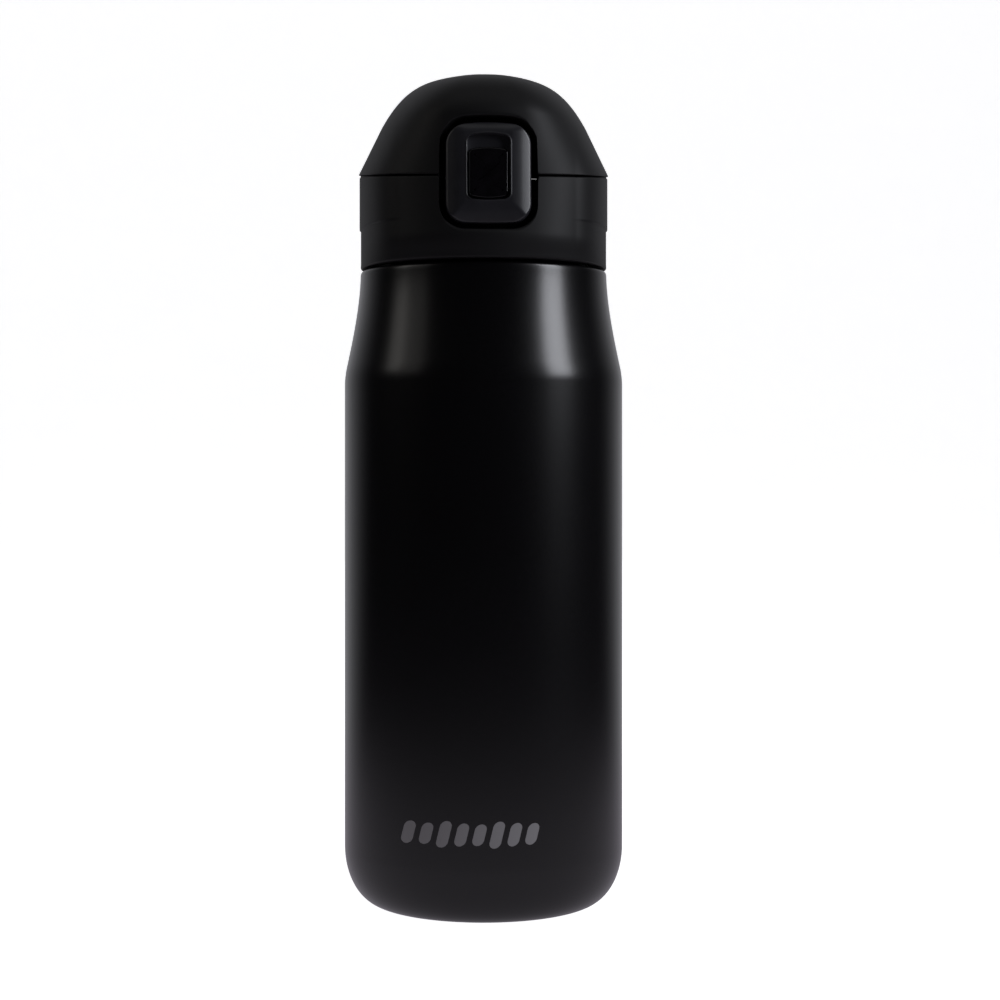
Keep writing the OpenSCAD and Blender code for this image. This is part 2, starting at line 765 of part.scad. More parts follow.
module lock_slider() {
    base = slot_floor + air;
    color([0.03, 0.03, 0.035]) in_button_frame() {
        translate([0, slider_low + slider_h / 2, base]) {
            linear_extrude(slider_top - base - slider_slope_h)
                rounded(slider_w, slider_h, slider_corner);
            hull() {
                translate([0, 0, slider_top - base - slider_slope_h - skin_t]) linear_extrude(skin_t)
                    rounded(slider_w, slider_h, slider_corner, $fn = coarse);
                translate([0, 0, slider_top - base - skin_t]) linear_extrude(skin_t)
                    rounded(slider_w - slider_slope_w, slider_h - slider_slope_w, slider_top_corner,
                        $fn = coarse);
            }
        }
        translate([-stem_w / 2, stem_v - stem_h / 2, bolt_front]) cube([stem_w, stem_h, base - bolt_front]);
    }
}

module lock_bolt() {
    color([0.5, 0.5, 0.5]) in_button_frame() translate([-bolt_w / 2, bolt_low, bolt_front - bolt_t])
        cube([bolt_w, bolt_high - bolt_low, bolt_t]);
}

outer_shell();
inner_vessel();
inner_base();
base_plate();
base_cover();
vacuum_seal();
getter();
heat_foil();
stopper_body();
collar_shell();
spout();
spout_gasket();
mouth_gasket();
hinge_pin();
lid_spring();
button_pin();
button_spring();
dome_shell();
dome_liner();
spout_seal();
catch_plate();
liner_screws();
button();
lock_slider();
lock_bolt();
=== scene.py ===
"""The looks of a vacuum flask with a flip lid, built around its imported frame, and the stage it stands on."""
import json
import math

import bmesh
import bpy
import numpy as np
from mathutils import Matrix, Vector


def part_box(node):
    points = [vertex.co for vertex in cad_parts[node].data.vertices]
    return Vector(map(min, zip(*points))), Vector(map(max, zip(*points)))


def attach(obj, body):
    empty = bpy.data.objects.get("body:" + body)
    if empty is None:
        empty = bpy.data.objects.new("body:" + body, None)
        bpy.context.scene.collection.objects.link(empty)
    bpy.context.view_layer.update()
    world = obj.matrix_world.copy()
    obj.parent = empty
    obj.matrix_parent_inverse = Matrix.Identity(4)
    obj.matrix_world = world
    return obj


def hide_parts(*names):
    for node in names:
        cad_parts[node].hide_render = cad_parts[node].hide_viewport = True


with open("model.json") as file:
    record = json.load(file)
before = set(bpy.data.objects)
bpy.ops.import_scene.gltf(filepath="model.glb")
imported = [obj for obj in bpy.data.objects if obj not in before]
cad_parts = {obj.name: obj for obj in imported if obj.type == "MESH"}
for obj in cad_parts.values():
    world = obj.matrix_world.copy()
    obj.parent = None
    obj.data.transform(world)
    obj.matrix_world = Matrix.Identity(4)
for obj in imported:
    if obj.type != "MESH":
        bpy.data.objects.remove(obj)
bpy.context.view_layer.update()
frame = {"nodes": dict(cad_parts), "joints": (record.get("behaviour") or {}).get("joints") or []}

MM = 0.001

bl_info = {
    "name": "Vacuum Flask with Flip Lid",
    "version": (1, 0, 0),
    "blender": (4, 5, 0),
    "location": "3D View > Sidebar > Flask",
    "description": "Builds the pieces, finishes and stage of a flip-lid vacuum flask",
    "category": "Add Mesh",
}


# ---------------------------------------------------------------- places, from the frame or beside it

def box_mm(node):
    """A CAD node's lowest and highest corners in millimetres."""
    low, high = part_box(node)
    return np.array(low) / MM, np.array(high) / MM


def joint_mm(name):
    """A joint's place in millimetres."""
    return next(np.array(j["pos_m"]) / MM for j in frame["joints"] if j["name"] == name)


BODY_R = box_mm("outer_shell")[1][0]
NECK_TOP = box_mm("outer_shell")[1][2]
COLLAR_Z = box_mm("collar_shell")[0][2]
HINGE = joint_mm("dome_flip")
NECK_R = 24.0  # the threaded neck's outside
SEAM_Z, TILT = 188.0, math.radians(7)  # the lid's seam on the axis, and how it rises towards the back
BUTTON_AT, LEAN = np.array([0.0, -33.3, 184.7]), math.radians(4)  # the button's face: its middle, its lean


# ---------------------------------------------------------------- sizes and colours

class BottleSettings(bpy.types.PropertyGroup):
    """Sizes and colours of the bottle."""
    edge_soft: bpy.props.FloatProperty(
        name="Shoulder edge", description="Height over which the wall turns into the shoulder",
        default=0.0022, unit="LENGTH")
    sheet: bpy.props.FloatProperty(
        name="Sheet", description="Thickness of the outer wall", default=0.0005, unit="LENGTH")
    coat: bpy.props.FloatVectorProperty(
        name="Powder coat", description="Colour of the powder coat", default=(0.003, 0.0028, 0.0033),
        subtype="COLOR", size=3)
    print_colour: bpy.props.FloatVectorProperty(
        name="Print", description="Colour of the printed bars", default=(0.27, 0.265, 0.27),
        subtype="COLOR", size=3)
    print_width: bpy.props.FloatProperty(
        name="Print width", description="Width of the row of printed bars", default=0.0345, unit="LENGTH")


class LidSettings(bpy.types.PropertyGroup):
    """Sizes and colours of the collar and dome."""
    well_width: bpy.props.FloatProperty(
        name="Well width", description="Width of the button's well", default=0.0242, unit="LENGTH")
    well_height: bpy.props.FloatProperty(
        name="Well height", description="Height of the button's well", default=0.028, unit="LENGTH")
    well_corner: bpy.props.FloatProperty(
        name="Well corner", description="Corner radius of the well", default=0.0062, unit="LENGTH")
    bead: bpy.props.FloatProperty(
        name="Bead", description="Width of the rounded bead round the well", default=0.001, unit="LENGTH")
    plastic: bpy.props.FloatVectorProperty(
        name="Lid plastic", description="Colour of the matt lid mouldings", default=(0.004, 0.0038, 0.0044),
        subtype="COLOR", size=3)


class ButtonSettings(bpy.types.PropertyGroup):
    """Sizes and colours of the push button and its lock slider."""
    width: bpy.props.FloatProperty(
        name="Button width", description="Width of the push button", default=0.0210, unit="LENGTH")
    height: bpy.props.FloatProperty(
        name="Button height", description="Height of the push button", default=0.0252, unit="LENGTH")
    plastic: bpy.props.FloatVectorProperty(
        name="Button plastic", description="Colour of the push button", default=(0.022, 0.022, 0.026),
        subtype="COLOR", size=3)
    slider: bpy.props.FloatVectorProperty(
        name="Slider plastic", description="Colour of the glossy lock slider", default=(0.0035, 0.003, 0.004),
        subtype="COLOR", size=3)


class StageSettings(bpy.types.PropertyGroup):
    """Light and backdrop."""
    key_power: bpy.props.FloatProperty(
        name="Key light", description="Power of the tall softbox on the right", default=4.4, unit="POWER")
    side_power: bpy.props.FloatProperty(
        name="Side light", description="Power of the softbox on the left", default=0.38, unit="POWER")
    paper_glow: bpy.props.FloatProperty(
        name="Paper glow", description="Light that the backdrop gives off by itself", default=0.75)
    sweep_colour: bpy.props.FloatVectorProperty(
        name="Backdrop", description="Colour of the floor and backdrop", default=(0.8, 0.8, 0.8),
        subtype="COLOR", size=3)


# ---------------------------------------------------------------- curves

def smooth(t):
    """Rises from 0 to 1 as t goes from 0 to 1, level at both ends."""
    t = np.clip(t, 0.0, 1.0)
    return t * t * (3 - 2 * t)


def soft_min(a, b, k):
    """The lower of a and b, with the corner where they cross rounded over k."""
    h = np.clip(k - np.abs(a - b), 0, None) / k
    return np.minimum(a, b) - h * h * k / 4


def bezier(a, b, c, d, count):
    """Points on the cubic curve from a to d that leaves towards b and arrives from c."""
    t = np.linspace(0, 1, count)[:, None]
    a, b, c, d = (np.asarray(p, float) for p in (a, b, c, d))
    return a * (1 - t) ** 3 + 3 * b * t * (1 - t) ** 2 + 3 * c * t * t * (1 - t) + d * t ** 3


def rounded(a, corner, b, t):
    """Points at shares t of the quadratic curve from a to b that rounds off a corner."""
    return a * (1 - t) ** 2 + 2 * corner * t * (1 - t) + b * t * t


def bend(a, corner, b, count):
    """Evenly shared points on the quadratic curve from a to b that rounds off a corner."""
    return rounded(*(np.asarray(p, float) for p in (a, corner, b)), np.linspace(0, 1, count)[:, None])


def along(points, lengths):
    """Points at the given shares (0 to 1) of a line's length."""
    step = np.linalg.norm(np.diff(points, axis=0), axis=1)
    reach = np.concatenate([[0], np.cumsum(step)])
    at = np.asarray(lengths) * reach[-1]
    return np.stack([np.interp(at, reach, points[:, k]) for k in range(points.shape[1])], axis=1)


def outline(width, height, corner, rise=(0.0, 0.0), side=10, turn=12):
    """A rectangle with rounded corners whose lower and upper edges bow outwards by rise, centred on zero.
    It starts at the middle of the lower edge and runs anticlockwise."""
    w, h, least = width / 2, height / 2, 0.01
    r = min(corner, w - least, h - least)
    t = np.linspace(0, 1, side, endpoint=False)
    a = np.linspace(0, math.pi / 2, turn, endpoint=False)
    flat = np.stack([t * (w - r), np.full(side, -h)], 1)
    low = np.stack([w - r + r * np.sin(a), -h + r - r * np.cos(a)], 1)
    up = np.stack([np.full(side * 2, w), np.linspace(-h + r, h - r, side * 2, endpoint=False)], 1)
    quarter = np.concatenate([flat, low, up])
    high = np.stack([w - r + r * np.cos(a), h - r + r * np.sin(a)], 1)
    top = np.stack([(1 - t) * (w - r), np.full(side, h)], 1)
    half = np.concatenate([quarter, high, top, [[0, h]]])
    whole = np.concatenate([half, (half * [-1, 1])[-2:0:-1]])
    share = np.clip(whole[:, 1] / h, -1, 1)
    bow = np.where(share > 0, rise[1], rise[0]) * share * (whole[:, 0] / w) ** 2
    return whole - np.stack([np.zeros(len(bow)), bow], 1)


# ---------------------------------------------------------------- meshes

def grid_quads(rows, columns, wrap_rows, wrap_columns):
    """The four corners of every face of a grid, as an array."""
    i = np.arange(rows if wrap_rows else rows - 1)[:, None]
    j = np.arange(columns if wrap_columns else columns - 1)[None, :]
    a, b = i * columns + j, i * columns + (j + 1) % columns
    c, d = ((i + 1) % rows) * columns + (j + 1) % columns, ((i + 1) % rows) * columns + j
    return np.stack([a, b, c, d], -1).reshape(-1, 4)


def volume(points, quads):
    """Six times the volume that a closed grid holds, below zero where its faces look inwards."""
    a, b, c, d = (points[quads[:, k]] for k in range(4))
    return np.sum(np.cross(a, b) * c) + np.sum(np.cross(a, c) * d)


class Shells:
    """Collects closed grids of points, in millimetres, and makes them one mesh."""

    def __init__(self):
        self.points, self.quads, self.count = [], [], 0

    def add(self, grid, wrap_rows=False, wrap_columns=True):
        """Adds a grid of rows x columns points. A row whose points all meet becomes a pole."""
        rows, columns = grid.shape[:2]
        points = grid.reshape(-1, 3)
        quads = grid_quads(rows, columns, wrap_rows, wrap_columns)
        if volume(points - points.mean(0), quads) < 0:
            quads = quads[:, ::-1]
        self.points.append(points)
        self.quads.append(quads + self.count)
        self.count += len(points)
        return self

    def mesh(self, name, sharp):
        """Puts the points into a mesh, merges poles and marks edges sharper than an angle."""
        points, quads = np.concatenate(self.points) * MM, np.concatenate(self.quads)
        mesh = bpy.data.meshes.new(name)
        mesh.vertices.add(len(points))
        mesh.vertices.foreach_set("co", points.astype(np.float32).ravel())
        mesh.loops.add(quads.size)
        mesh.loops.foreach_set("vertex_index", quads.astype(np.int32).ravel())
        mesh.polygons.add(len(quads))
        mesh.polygons.foreach_set("loop_start", np.arange(0, quads.size, 4, dtype=np.int32))
        mesh.update(calc_edges=True)
        work = bmesh.new()
        work.from_mesh(mesh)
        bmesh.ops.remove_doubles(work, verts=work.verts, dist=2e-7)
        work.to_mesh(mesh)
        work.free()
        mesh.polygons.foreach_set("use_smooth", np.ones(len(mesh.polygons), bool))
        mesh.set_sharp_from_angle(angle=math.radians(sharp))
        return mesh


def place(name, mesh, finish, body, nodes=()):
    """Makes an object of a mesh, gives it its finish and body, and hides the CAD nodes it stands for."""
    piece = bpy.data.objects.new(name, mesh)
    bpy.context.scene.collection.objects.link(piece)
    mesh.materials.clear()
    mesh.materials.append(finish)
    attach(piece, body)
    if nodes:
        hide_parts(*nodes)
    return piece


def turned(profile, columns=192, at=(0.0, 0.0)):
    """A profile of (radius, height) points carried round an upright axis: x = r sin a, y = -r cos a."""
    a = np.linspace(0, 2 * math.pi, columns, endpoint=False)
    r, z = profile[:, :1], profile[:, 1:]
    return np.stack([at[0] + r * np.sin(a), at[1] - r * np.cos(a), z + 0 * a], -1)


def loft(loops):
    """Rows of points from a list of closed loops, each an array of points."""
    return np.stack([np.asarray(loop, float) for loop in loops])


def bar(shape, low, high, soft=0.3):
    """An outline in the (y, z) plane carried along X from low to high, with its end edges rounded by soft.
    Each end closes on the outline's middle."""
    middle, ahead = shape.mean(0), np.roll(shape, -1, 0)
    forward = ahead - np.roll(shape, 1, 0)
    out = np.stack([forward[:, 1], -forward[:, 0]], 1)
    out /= np.linalg.norm(out, axis=1)[:, None] + 1e-9
    area = np.sum(shape[:, 0] * ahead[:, 1] - ahead[:, 0] * shape[:, 1])
    out = out * np.sign(area)
    a = np.linspace(0, math.pi / 2, 5)
    inset, rise = soft * (1 - np.sin(a)), soft * (1 - np.cos(a))
    rows = [(low, None), *zip(low + rise, inset), *zip((high - rise)[::-1], inset[::-1]), (high, None)]
    loops = []
    for x, inward in rows:
        flat = np.tile(middle, (len(shape), 1)) if inward is None else shape - out * inward
        loops.append(np.column_stack([np.full(len(shape), x), flat]))
    return loft(loops)


def relax(shape, rounds, share=0.5):
    """Rounds a closed line's corners by moving every point towards its neighbours' middle."""
    for _ in range(rounds):
        shape = shape + share * ((np.roll(shape, 1, 0) + np.roll(shape, -1, 0)) / 2 - shape)
    return shape


def closed_line(corners, count, rounds):
    """A closed line through corners, evenly divided and then relaxed."""
    corners = np.asarray(corners, float)
    line = along(np.concatenate([corners, corners[:1]]), np.linspace(0, 1, count, endpoint=False))
    return relax(line, rounds)


def swept_wire(path, radius, around=10):
    """A round wire along a path: each ring stands square to the path, and both ends close to a point."""
    ahead = np.gradient(path, axis=0)
    ahead /= np.linalg.norm(ahead, axis=1)[:, None]
    side = np.cross(ahead, [0.123, 0.456, 0.881])
    side /= np.linalg.norm(side, axis=1)[:, None]
    up = np.cross(ahead, side)
    a = np.linspace(0, 2 * math.pi, around, endpoint=False)[None, :, None]
    rings = path[:, None] + radius * (np.cos(a) * side[:, None] + np.sin(a) * up[:, None])
    start, end = (np.repeat(path[k][None, None], around, 1) for k in (0, -1))
    return np.concatenate([start, rings, end])


# ---------------------------------------------------------------- frames of the lid and the button

def lid_to_world(p):
    """Points from the lid's frame, whose XY plane is the seam, to the flask's frame."""
    c, s = math.cos(TILT), math.sin(TILT)
    return np.stack([p[..., 0], c * p[..., 1] - s * p[..., 2], SEAM_Z + s * p[..., 1] + c * p[..., 2]], -1)


def button_to_world(p):
    """Points from the button's frame, x across, y up its face and z outwards, to the flask's frame."""
    c, s = math.cos(LEAN), math.sin(LEAN)
    y, z = p[..., 1], p[..., 2]
    return np.stack([p[..., 0], BUTTON_AT[1] + s * y - c * z, BUTTON_AT[2] + c * y + s * z], -1)


WELL_BOW = (0.5, 1.1)  # how far the well's lower and upper edges bow outwards
MOUND_START, MOUND_SPAN = math.radians(21), math.radians(58)  # where round the lid the mound falls away
MOUND_OVER, MOUND_OVER_FALL = 0.6, 15.5  # where over the well it falls away
MOUND_UNDER, MOUND_UNDER_FALL = 8.2, 7.6  # where under the well it falls away
MOUND_FOOT = 0.45  # the share of it left at the foot
MOUND_BOW, MOUND_BOW_REACH = 0.0118, 22.0


def mound_share(a, z, lid):
    """How far a point is drawn out to the button's plane: 1 round the well, falling smoothly to 0 at the
    sides and over the top, and to a smaller share at the foot."""
    v, half = z - BUTTON_AT[2], lid.well_height / MM / 2
    turn = np.clip((np.abs(a) - MOUND_START) / MOUND_SPAN, 0, 1)
    over = 1 - smooth((v - half - MOUND_OVER) / MOUND_OVER_FALL)
    under = MOUND_FOOT + (1 - MOUND_FOOT) * smooth((v + half + MOUND_UNDER) / MOUND_UNDER_FALL)
    return (0.5 + 0.5 * np.cos(math.pi * turn)) * over * under


def mound_bow(x):
    """How far the mound's face falls back from the button's plane towards its sides."""
    return MOUND_BOW * np.minimum(np.abs(x), MOUND_BOW_REACH) ** 2


# ---------------------------------------------------------------- the lid's two mouldings

LID_R = 32.4  # radius at which angles count as lengths along a moulding's edge
COLLAR_R, COLLAR_STEP = 31.85, 0.34  # the lower band, and how far the upper band stands out from it
STEP_Z, STEP_H = 173.7, 0.4  # the step between the bands
STEP_FADE, STEP_FADE_SPAN = math.radians(38), math.radians(22)  # where round the collar the step comes in
RAMP_BELOW, RAMP_H = 5, 14  # the ramp that takes the step's place on the front
FLARE, FLARE_H = 0.06, 1.3  # how far and how high the collar's foot stands out
LID_IN_R = 29.95  # the collar's inside
SEAM_GAP, SEAM_BEAD_LOW, SEAM_BEAD_HIGH = 0.45, 0.35, 0.4  # the seam, and the rounding of its two edges
DOME_EDGE_R, DOME_H, DOME_WALL = 32.6, 25.9, 1.9
FLANK_H, FLANK = 12.4, math.radians(26.5)  # the dome's straight flank
CROWN_TURN, CROWN_START, CROWN_END = math.radians(3), 12.5, 14.5  # the curve over it: turn and handles
PROFILE_RUN = 60  # length that the whole profile of the dome counts as along its edge
NOTCH_DEPTH, NOTCH_IN, NOTCH_OUT = 4.2, 8.75, 13.75  # the collar's notches for the arms, below the hinge
DOME_NOTCH, DOME_NOTCH_H = 9.35, 1.7  # half width and height of the dome's notch over the knuckle
EDGE_SPACING = (0.42, 0.95)  # of points along an edge, at the front and at the back
WELL_Y = -20  # the edge lies round the well in front of this
WELL_FADE = math.radians(10)  # angle over which the inside turns from straight back to radial
UPRIGHT_SHARE = 0.6  # how much upright stretches of an edge count in the spread of its strips
KNUCKLE_R, HINGE_SOFT = 3.1, 0.45
ARM_IN, ARM_OUT, KNUCKLE_HALF = 9.3, 13.3, 9.0  # ends of the arms and the middle knuckle along the hinge pin
BOSS_AT, BOSS_R, BOSS_LOW, BOSS_TOP = 18.6, 2.6, 14.2, 18.4  # the liner's screw bosses


def front_ramp(z):
    """Rises from 0 to 1 with height where the front of the collar swells from the lower to the upper band."""
    return smooth((z - STEP_Z + RAMP_BELOW) / RAMP_H)


def collar_skin(a, z, lid):
    """The collar's outside: the radius follows the lower band, a step that fades out towards the front
    and the upper band, and the front is drawn out along Y to the button's plane round the well."""
    side = smooth((np.abs(a) - STEP_FADE) / STEP_FADE_SPAN)
    step = smooth((z - STEP_Z) / STEP_H)
    foot = FLARE * smooth(1 - (z - COLLAR_Z) / FLARE_H)
    r = COLLAR_R + COLLAR_STEP * (side * step + (1 - side) * front_ramp(z)) + foot
    x, y = r * np.sin(a), -r * np.cos(a)
    plane = BUTTON_AT[1] + (z - BUTTON_AT[2]) * math.tan(LEAN) + mound_bow(x)
    return np.stack([x, y + np.minimum(plane - y, 0) * mound_share(a, z, lid), z], -1)


def dome_profile(inset, count=160):
    """The dome's profile as (radius, height) in the lid's frame, from its edge to its top: a straight
    flank, then a curve to the level top."""
    edge = DOME_EDGE_R - inset / math.cos(FLANK)
    knee = np.array([edge - FLANK_H * math.tan(FLANK), FLANK_H])
    lean = FLANK + CROWN_TURN
    top = DOME_H - inset
    handle = knee + CROWN_START * np.array([-math.sin(lean), math.cos(lean)])
    curve = bezier(knee, handle, [CROWN_END, top], [0, top], 120)
    line = np.concatenate([np.linspace([edge, 0], knee, 40, endpoint=False), curve])
    return along(line, np.linspace(0, 1, count))


def dome_skin(a, s, lid, profile, drawn=1.0):
    """The dome's outside at angle a and share s of its profile (0 at the edge, 1 at the top), in the
    lid's frame: round the well it is drawn out along the lid's Y to the button's plane."""
    share = np.linspace(0, 1, len(profile))
    r, h = np.interp(s, share, profile[:, 0]), np.interp(s, share, profile[:, 1])
    x, y = r * np.sin(a), -r * np.cos(a)
    plane = button_plane_in_lid(h) + mound_bow(x)
    z = SEAM_Z + plane * math.sin(TILT) + h * math.cos(TILT)
    pull = mound_share(a, z, lid) * drawn
    return np.stack([x, y + np.minimum(plane - y, 0) * pull, h], -1)


def button_plane_in_lid(h):
    """The lid-frame Y of the button's plane at height h over the seam."""
    t = math.tan(LEAN)
    rise = SEAM_Z - BUTTON_AT[2]
    top = BUTTON_AT[1] + (rise + h * math.cos(TILT)) * t + h * math.sin(TILT)
    return top / (math.cos(TILT) - t * math.sin(TILT))


def rounded_corners(line, corners, reach, rounds=60):
    """Softens a line within reach of the given places along it, leaving the rest as it is: each round
    moves its points half way, or less further off, to their neighbours' middle."""
    near = np.min(np.abs(np.linspace(0, 1, len(line))[:, None] - corners), axis=1)
    share = 0.5 * smooth(1 - near / reach)[:, None]
    for _ in range(rounds):
        inner = (line[:-2] + line[2:]) / 2
        line[1:-1] += share[1:-1] * (inner - line[1:-1])
    return line


def half_loop(parts, spacing, soft=0.5):
    """One half of a moulding's edge, from the middle of the front to the middle of the back. Each part is
    a line of (angle length, height) points; their joins are softened, and points lie spacing apart,
    closer at joins."""
    fine, join_reach, join_spacing, front_run = 0.06, 1.2, 0.14, 40
    line = np.concatenate([parts[0]] + [p[1:] for p in parts[1:]])
    step = np.concatenate([[0], np.cumsum(np.linalg.norm(np.diff(line, axis=0), axis=1))])
    ends = np.cumsum([len(parts[0]) - 1] + [len(p) - 1 for p in parts[1:]])[:-1]
    corners = step[ends] / step[-1]
    dense = along(line, np.linspace(0, 1, int(step[-1] / fine)))
    dense = rounded_corners(dense, corners, soft / step[-1])
    share = np.linspace(0, 1, len(dense))
    near = np.min(np.abs(share[:, None] - corners), axis=1) * step[-1]
    front = np.clip(dense[:, 0] / front_run, 0, 1)
    want = spacing[0] + (spacing[1] - spacing[0]) * smooth(front)
    gap = np.where(near < join_reach, join_spacing, want)
    weight = np.concatenate([[0], np.cumsum(1 / gap[1:])])
    count = int(weight[-1] * (step[-1] / len(dense)))
    return np.stack([np.interp(np.linspace(0, weight[-1], count), weight, dense[:, k]) for k in (0, 1)], 1)


def strips(half):
    """From half an edge: the whole edge's angles and heights, its left half being the right one turned
    round, and the angles its strips run to at their far ends. Those grow along the edge from 0 to half a
    turn, and upright stretches count for less."""
    loop = np.concatenate([half, (half * [-1, 1])[-2:0:-1]])
    d = np.abs(np.diff(half, axis=0))
    total = np.concatenate([[0], np.cumsum(d[:, 0] + UPRIGHT_SHARE * d[:, 1])])
    far = total / total[-1] * math.pi
    return loop[:, 0] / LID_R, loop[:, 1], np.concatenate([far, -far[-2:0:-1]])


def well_half(lid, upper, seam_at, clear=0.02, steps=24):
    """The right half of the well's outline above or below the seam as (x, height on the button's plane)."""
    width, height, corner = lid.well_width / MM, lid.well_height / MM, lid.well_corner / MM
    whole = outline(width, height, corner, WELL_BOW, steps, steps)
    half = whole[:len(whole) // 2 + 1]
    half = half[::-1] if upper else half
    side = half[:, 1] > seam_at + clear if upper else half[:, 1] < seam_at - clear
    return np.concatenate([half[side], [[width / 2, seam_at]]])


def seam_front(lid):
    """Height at which the seam's plane meets the button's plane at the side of the well."""
    slope, lean = math.tan(TILT), math.tan(LEAN)
    side_y = BUTTON_AT[1] + mound_bow(lid.well_width / MM / 2)
    return (SEAM_Z + slope * (side_y - BUTTON_AT[2] * lean)) / (1 - slope * lean)


def from_well(top_a, well_end):
    """Rises from 0 where the well's outline ends to 1 further round the seam."""
    return smooth((np.abs(top_a) - well_end / LID_R) / WELL_FADE)


def inner_angle(edge, top_a, past_well, radius, most):
    """Angles of a moulding's inner edge: straight behind the outer one round the well, the same angle
    elsewhere."""
    straight = np.arcsin(np.clip(edge[:, 0] / radius, -most, most))
    return np.where(edge[:, 1] < WELL_Y, straight * (1 - past_well) + top_a * past_well, top_a)


def free_edge(lid, edge, inner_edge, top_a, well_end, seam_bead, skin):
    """Rounds a moulding's free edge, by the bead's width round the well and by seam_bead along the seam.
    Gives the share of the skin at which the rounding ends, the rounded rows and the rows of the face
    behind them."""
    probe, bead_run, bead_wall, fade_from, fade_run = 0.004, 0.3, 0.45, 0.6, 1.2
    at_well = smooth(1 - (np.abs(top_a) * LID_R - well_end + fade_from) / fade_run)
    bead = seam_bead + (lid.bead / MM - seam_bead) * at_well
    speed = np.linalg.norm(skin(np.full(len(edge), probe)) - edge, axis=1) / probe
    start = np.clip(bead / speed, 0, bead_run)
    wall = np.linalg.norm(inner_edge - edge, axis=1)
    near = edge + (inner_edge - edge) * np.minimum(bead / wall, bead_wall)[:, None]
    rim = rounded(near, edge, skin(start), np.linspace(0, 1, 8)[:, None, None])
    back = np.linspace(0, 1, 4)[1:-1, None, None]
    return start, rim, inner_edge * (1 - back) + near * back


# ---------------------------------------------------------------- finishes

class Socket:
    """A number in a shader. Arithmetic on it adds Math nodes."""

    def __init__(self, maker, socket):
        self.maker, self.socket = maker, socket

    def math(self, operation, *values):
        return self.maker.node("ShaderNodeMath", {"operation": operation}, dict(enumerate(values)))

    def __add__(self, other):
        return self.math("ADD", self, other)

    def __sub__(self, other):
        return self.math("SUBTRACT", self, other)

    def __mul__(self, other):
        return self.math("MULTIPLY", self, other)

    def __truediv__(self, other):
        return self.math("DIVIDE", self, other)

    def __rsub__(self, other):
        return self.math("SUBTRACT", other, self)

    __radd__, __rmul__ = __add__, __mul__

    def alone(self, operation):
        return self.math(operation, self)

    def __abs__(self):
        return self.alone("ABSOLUTE")

    def most(self, other):
        return self.math("MAXIMUM", self, other)

    def ramp(self, low, high):
        """0 at low, 1 at high, smooth between."""
        return self.maker.node("ShaderNodeMapRange", {"interpolation_type": "SMOOTHSTEP"},
                               {0: self, 1: low, 2: high, 3: 0.0, 4: 1.0})


class Finish:
    """The nodes of one material."""

    def __init__(self, name):
        self.material = bpy.data.materials.new(name)
        self.material.use_nodes = True
        self.tree = self.material.node_tree
        self.tree.nodes.clear()
        self.place = self.node("ShaderNodeTexCoord", output="Object")

    def node(self, kind, settings=None, values=None, output=0):
        """Adds a node: its settings are set first, then its sockets take values or links."""
        made = self.tree.nodes.new(kind)
        for key, value in (settings or {}).items():
            setattr(made, key, value)
        for key, value in (values or {}).items():
            if isinstance(value, Socket):
                self.tree.links.new(value.socket, made.inputs[key])
            else:
                made.inputs[key].default_value = value
        return Socket(self, made.outputs[output] if made.outputs else None)

    def axes(self):
        """The place's x, y and z in millimetres."""
        split = self.node("ShaderNodeSeparateXYZ", values={0: self.place})
        outs = split.socket.node.outputs
        return tuple(Socket(self, out) * 1000.0 for out in outs)

    def noise(self, size, detail=2.0, roughness=0.5, stretch=None):
        """Noise whose patches are about size millimetres across."""
        vector = self.place
        if stretch:
            vector = self.node("ShaderNodeMapping", {"vector_type": "POINT"},
                               {"Vector": vector, "Scale": stretch})
        return self.node("ShaderNodeTexNoise", {"noise_dimensions": "3D"},
                         {"Vector": vector, "Scale": 1 / (size * MM), "Detail": detail,
                          "Roughness": roughness})

    def mix(self, share, a, b):
        """A colour between a and b."""
        made = self.tree.nodes.new("ShaderNodeMix")
        made.data_type = "RGBA"
        for key, value in ((0, share), (6, a), (7, b)):
            if isinstance(value, Socket):
                self.tree.links.new(value.socket, made.inputs[key])
            else:
                made.inputs[key].default_value = value if key == 0 else (*value[:3], 1.0)
        return Socket(self, made.outputs[2])

    def bump(self, height, distance, strength=1.0):
        """A normal from a height, whose full range is distance millimetres."""
        return self.node("ShaderNodeBump",
                         values={"Height": height, "Distance": distance * MM, "Strength": strength})

    def close(self, **sockets):
        """Adds the surface shader and the output. Names use _ for spaces."""
        values = {key.replace("_", " "): value for key, value in sockets.items()}
        shader = self.node("ShaderNodeBsdfPrincipled", values=values)
        self.node("ShaderNodeOutputMaterial", values={"Surface": shader})
        return self.material


def tone(finish, mask, colour, dark, light, low=0.3, high=0.7):
    """A colour that runs from darker to lighter as a mask runs from low to high."""
    return finish.mix(mask.ramp(low, high), shade(colour, dark), shade(colour, light))


def shade(colour, gain):
    """A colour made lighter or darker."""
    return tuple(min(1.0, c * gain) for c in tuple(colour)[:3])


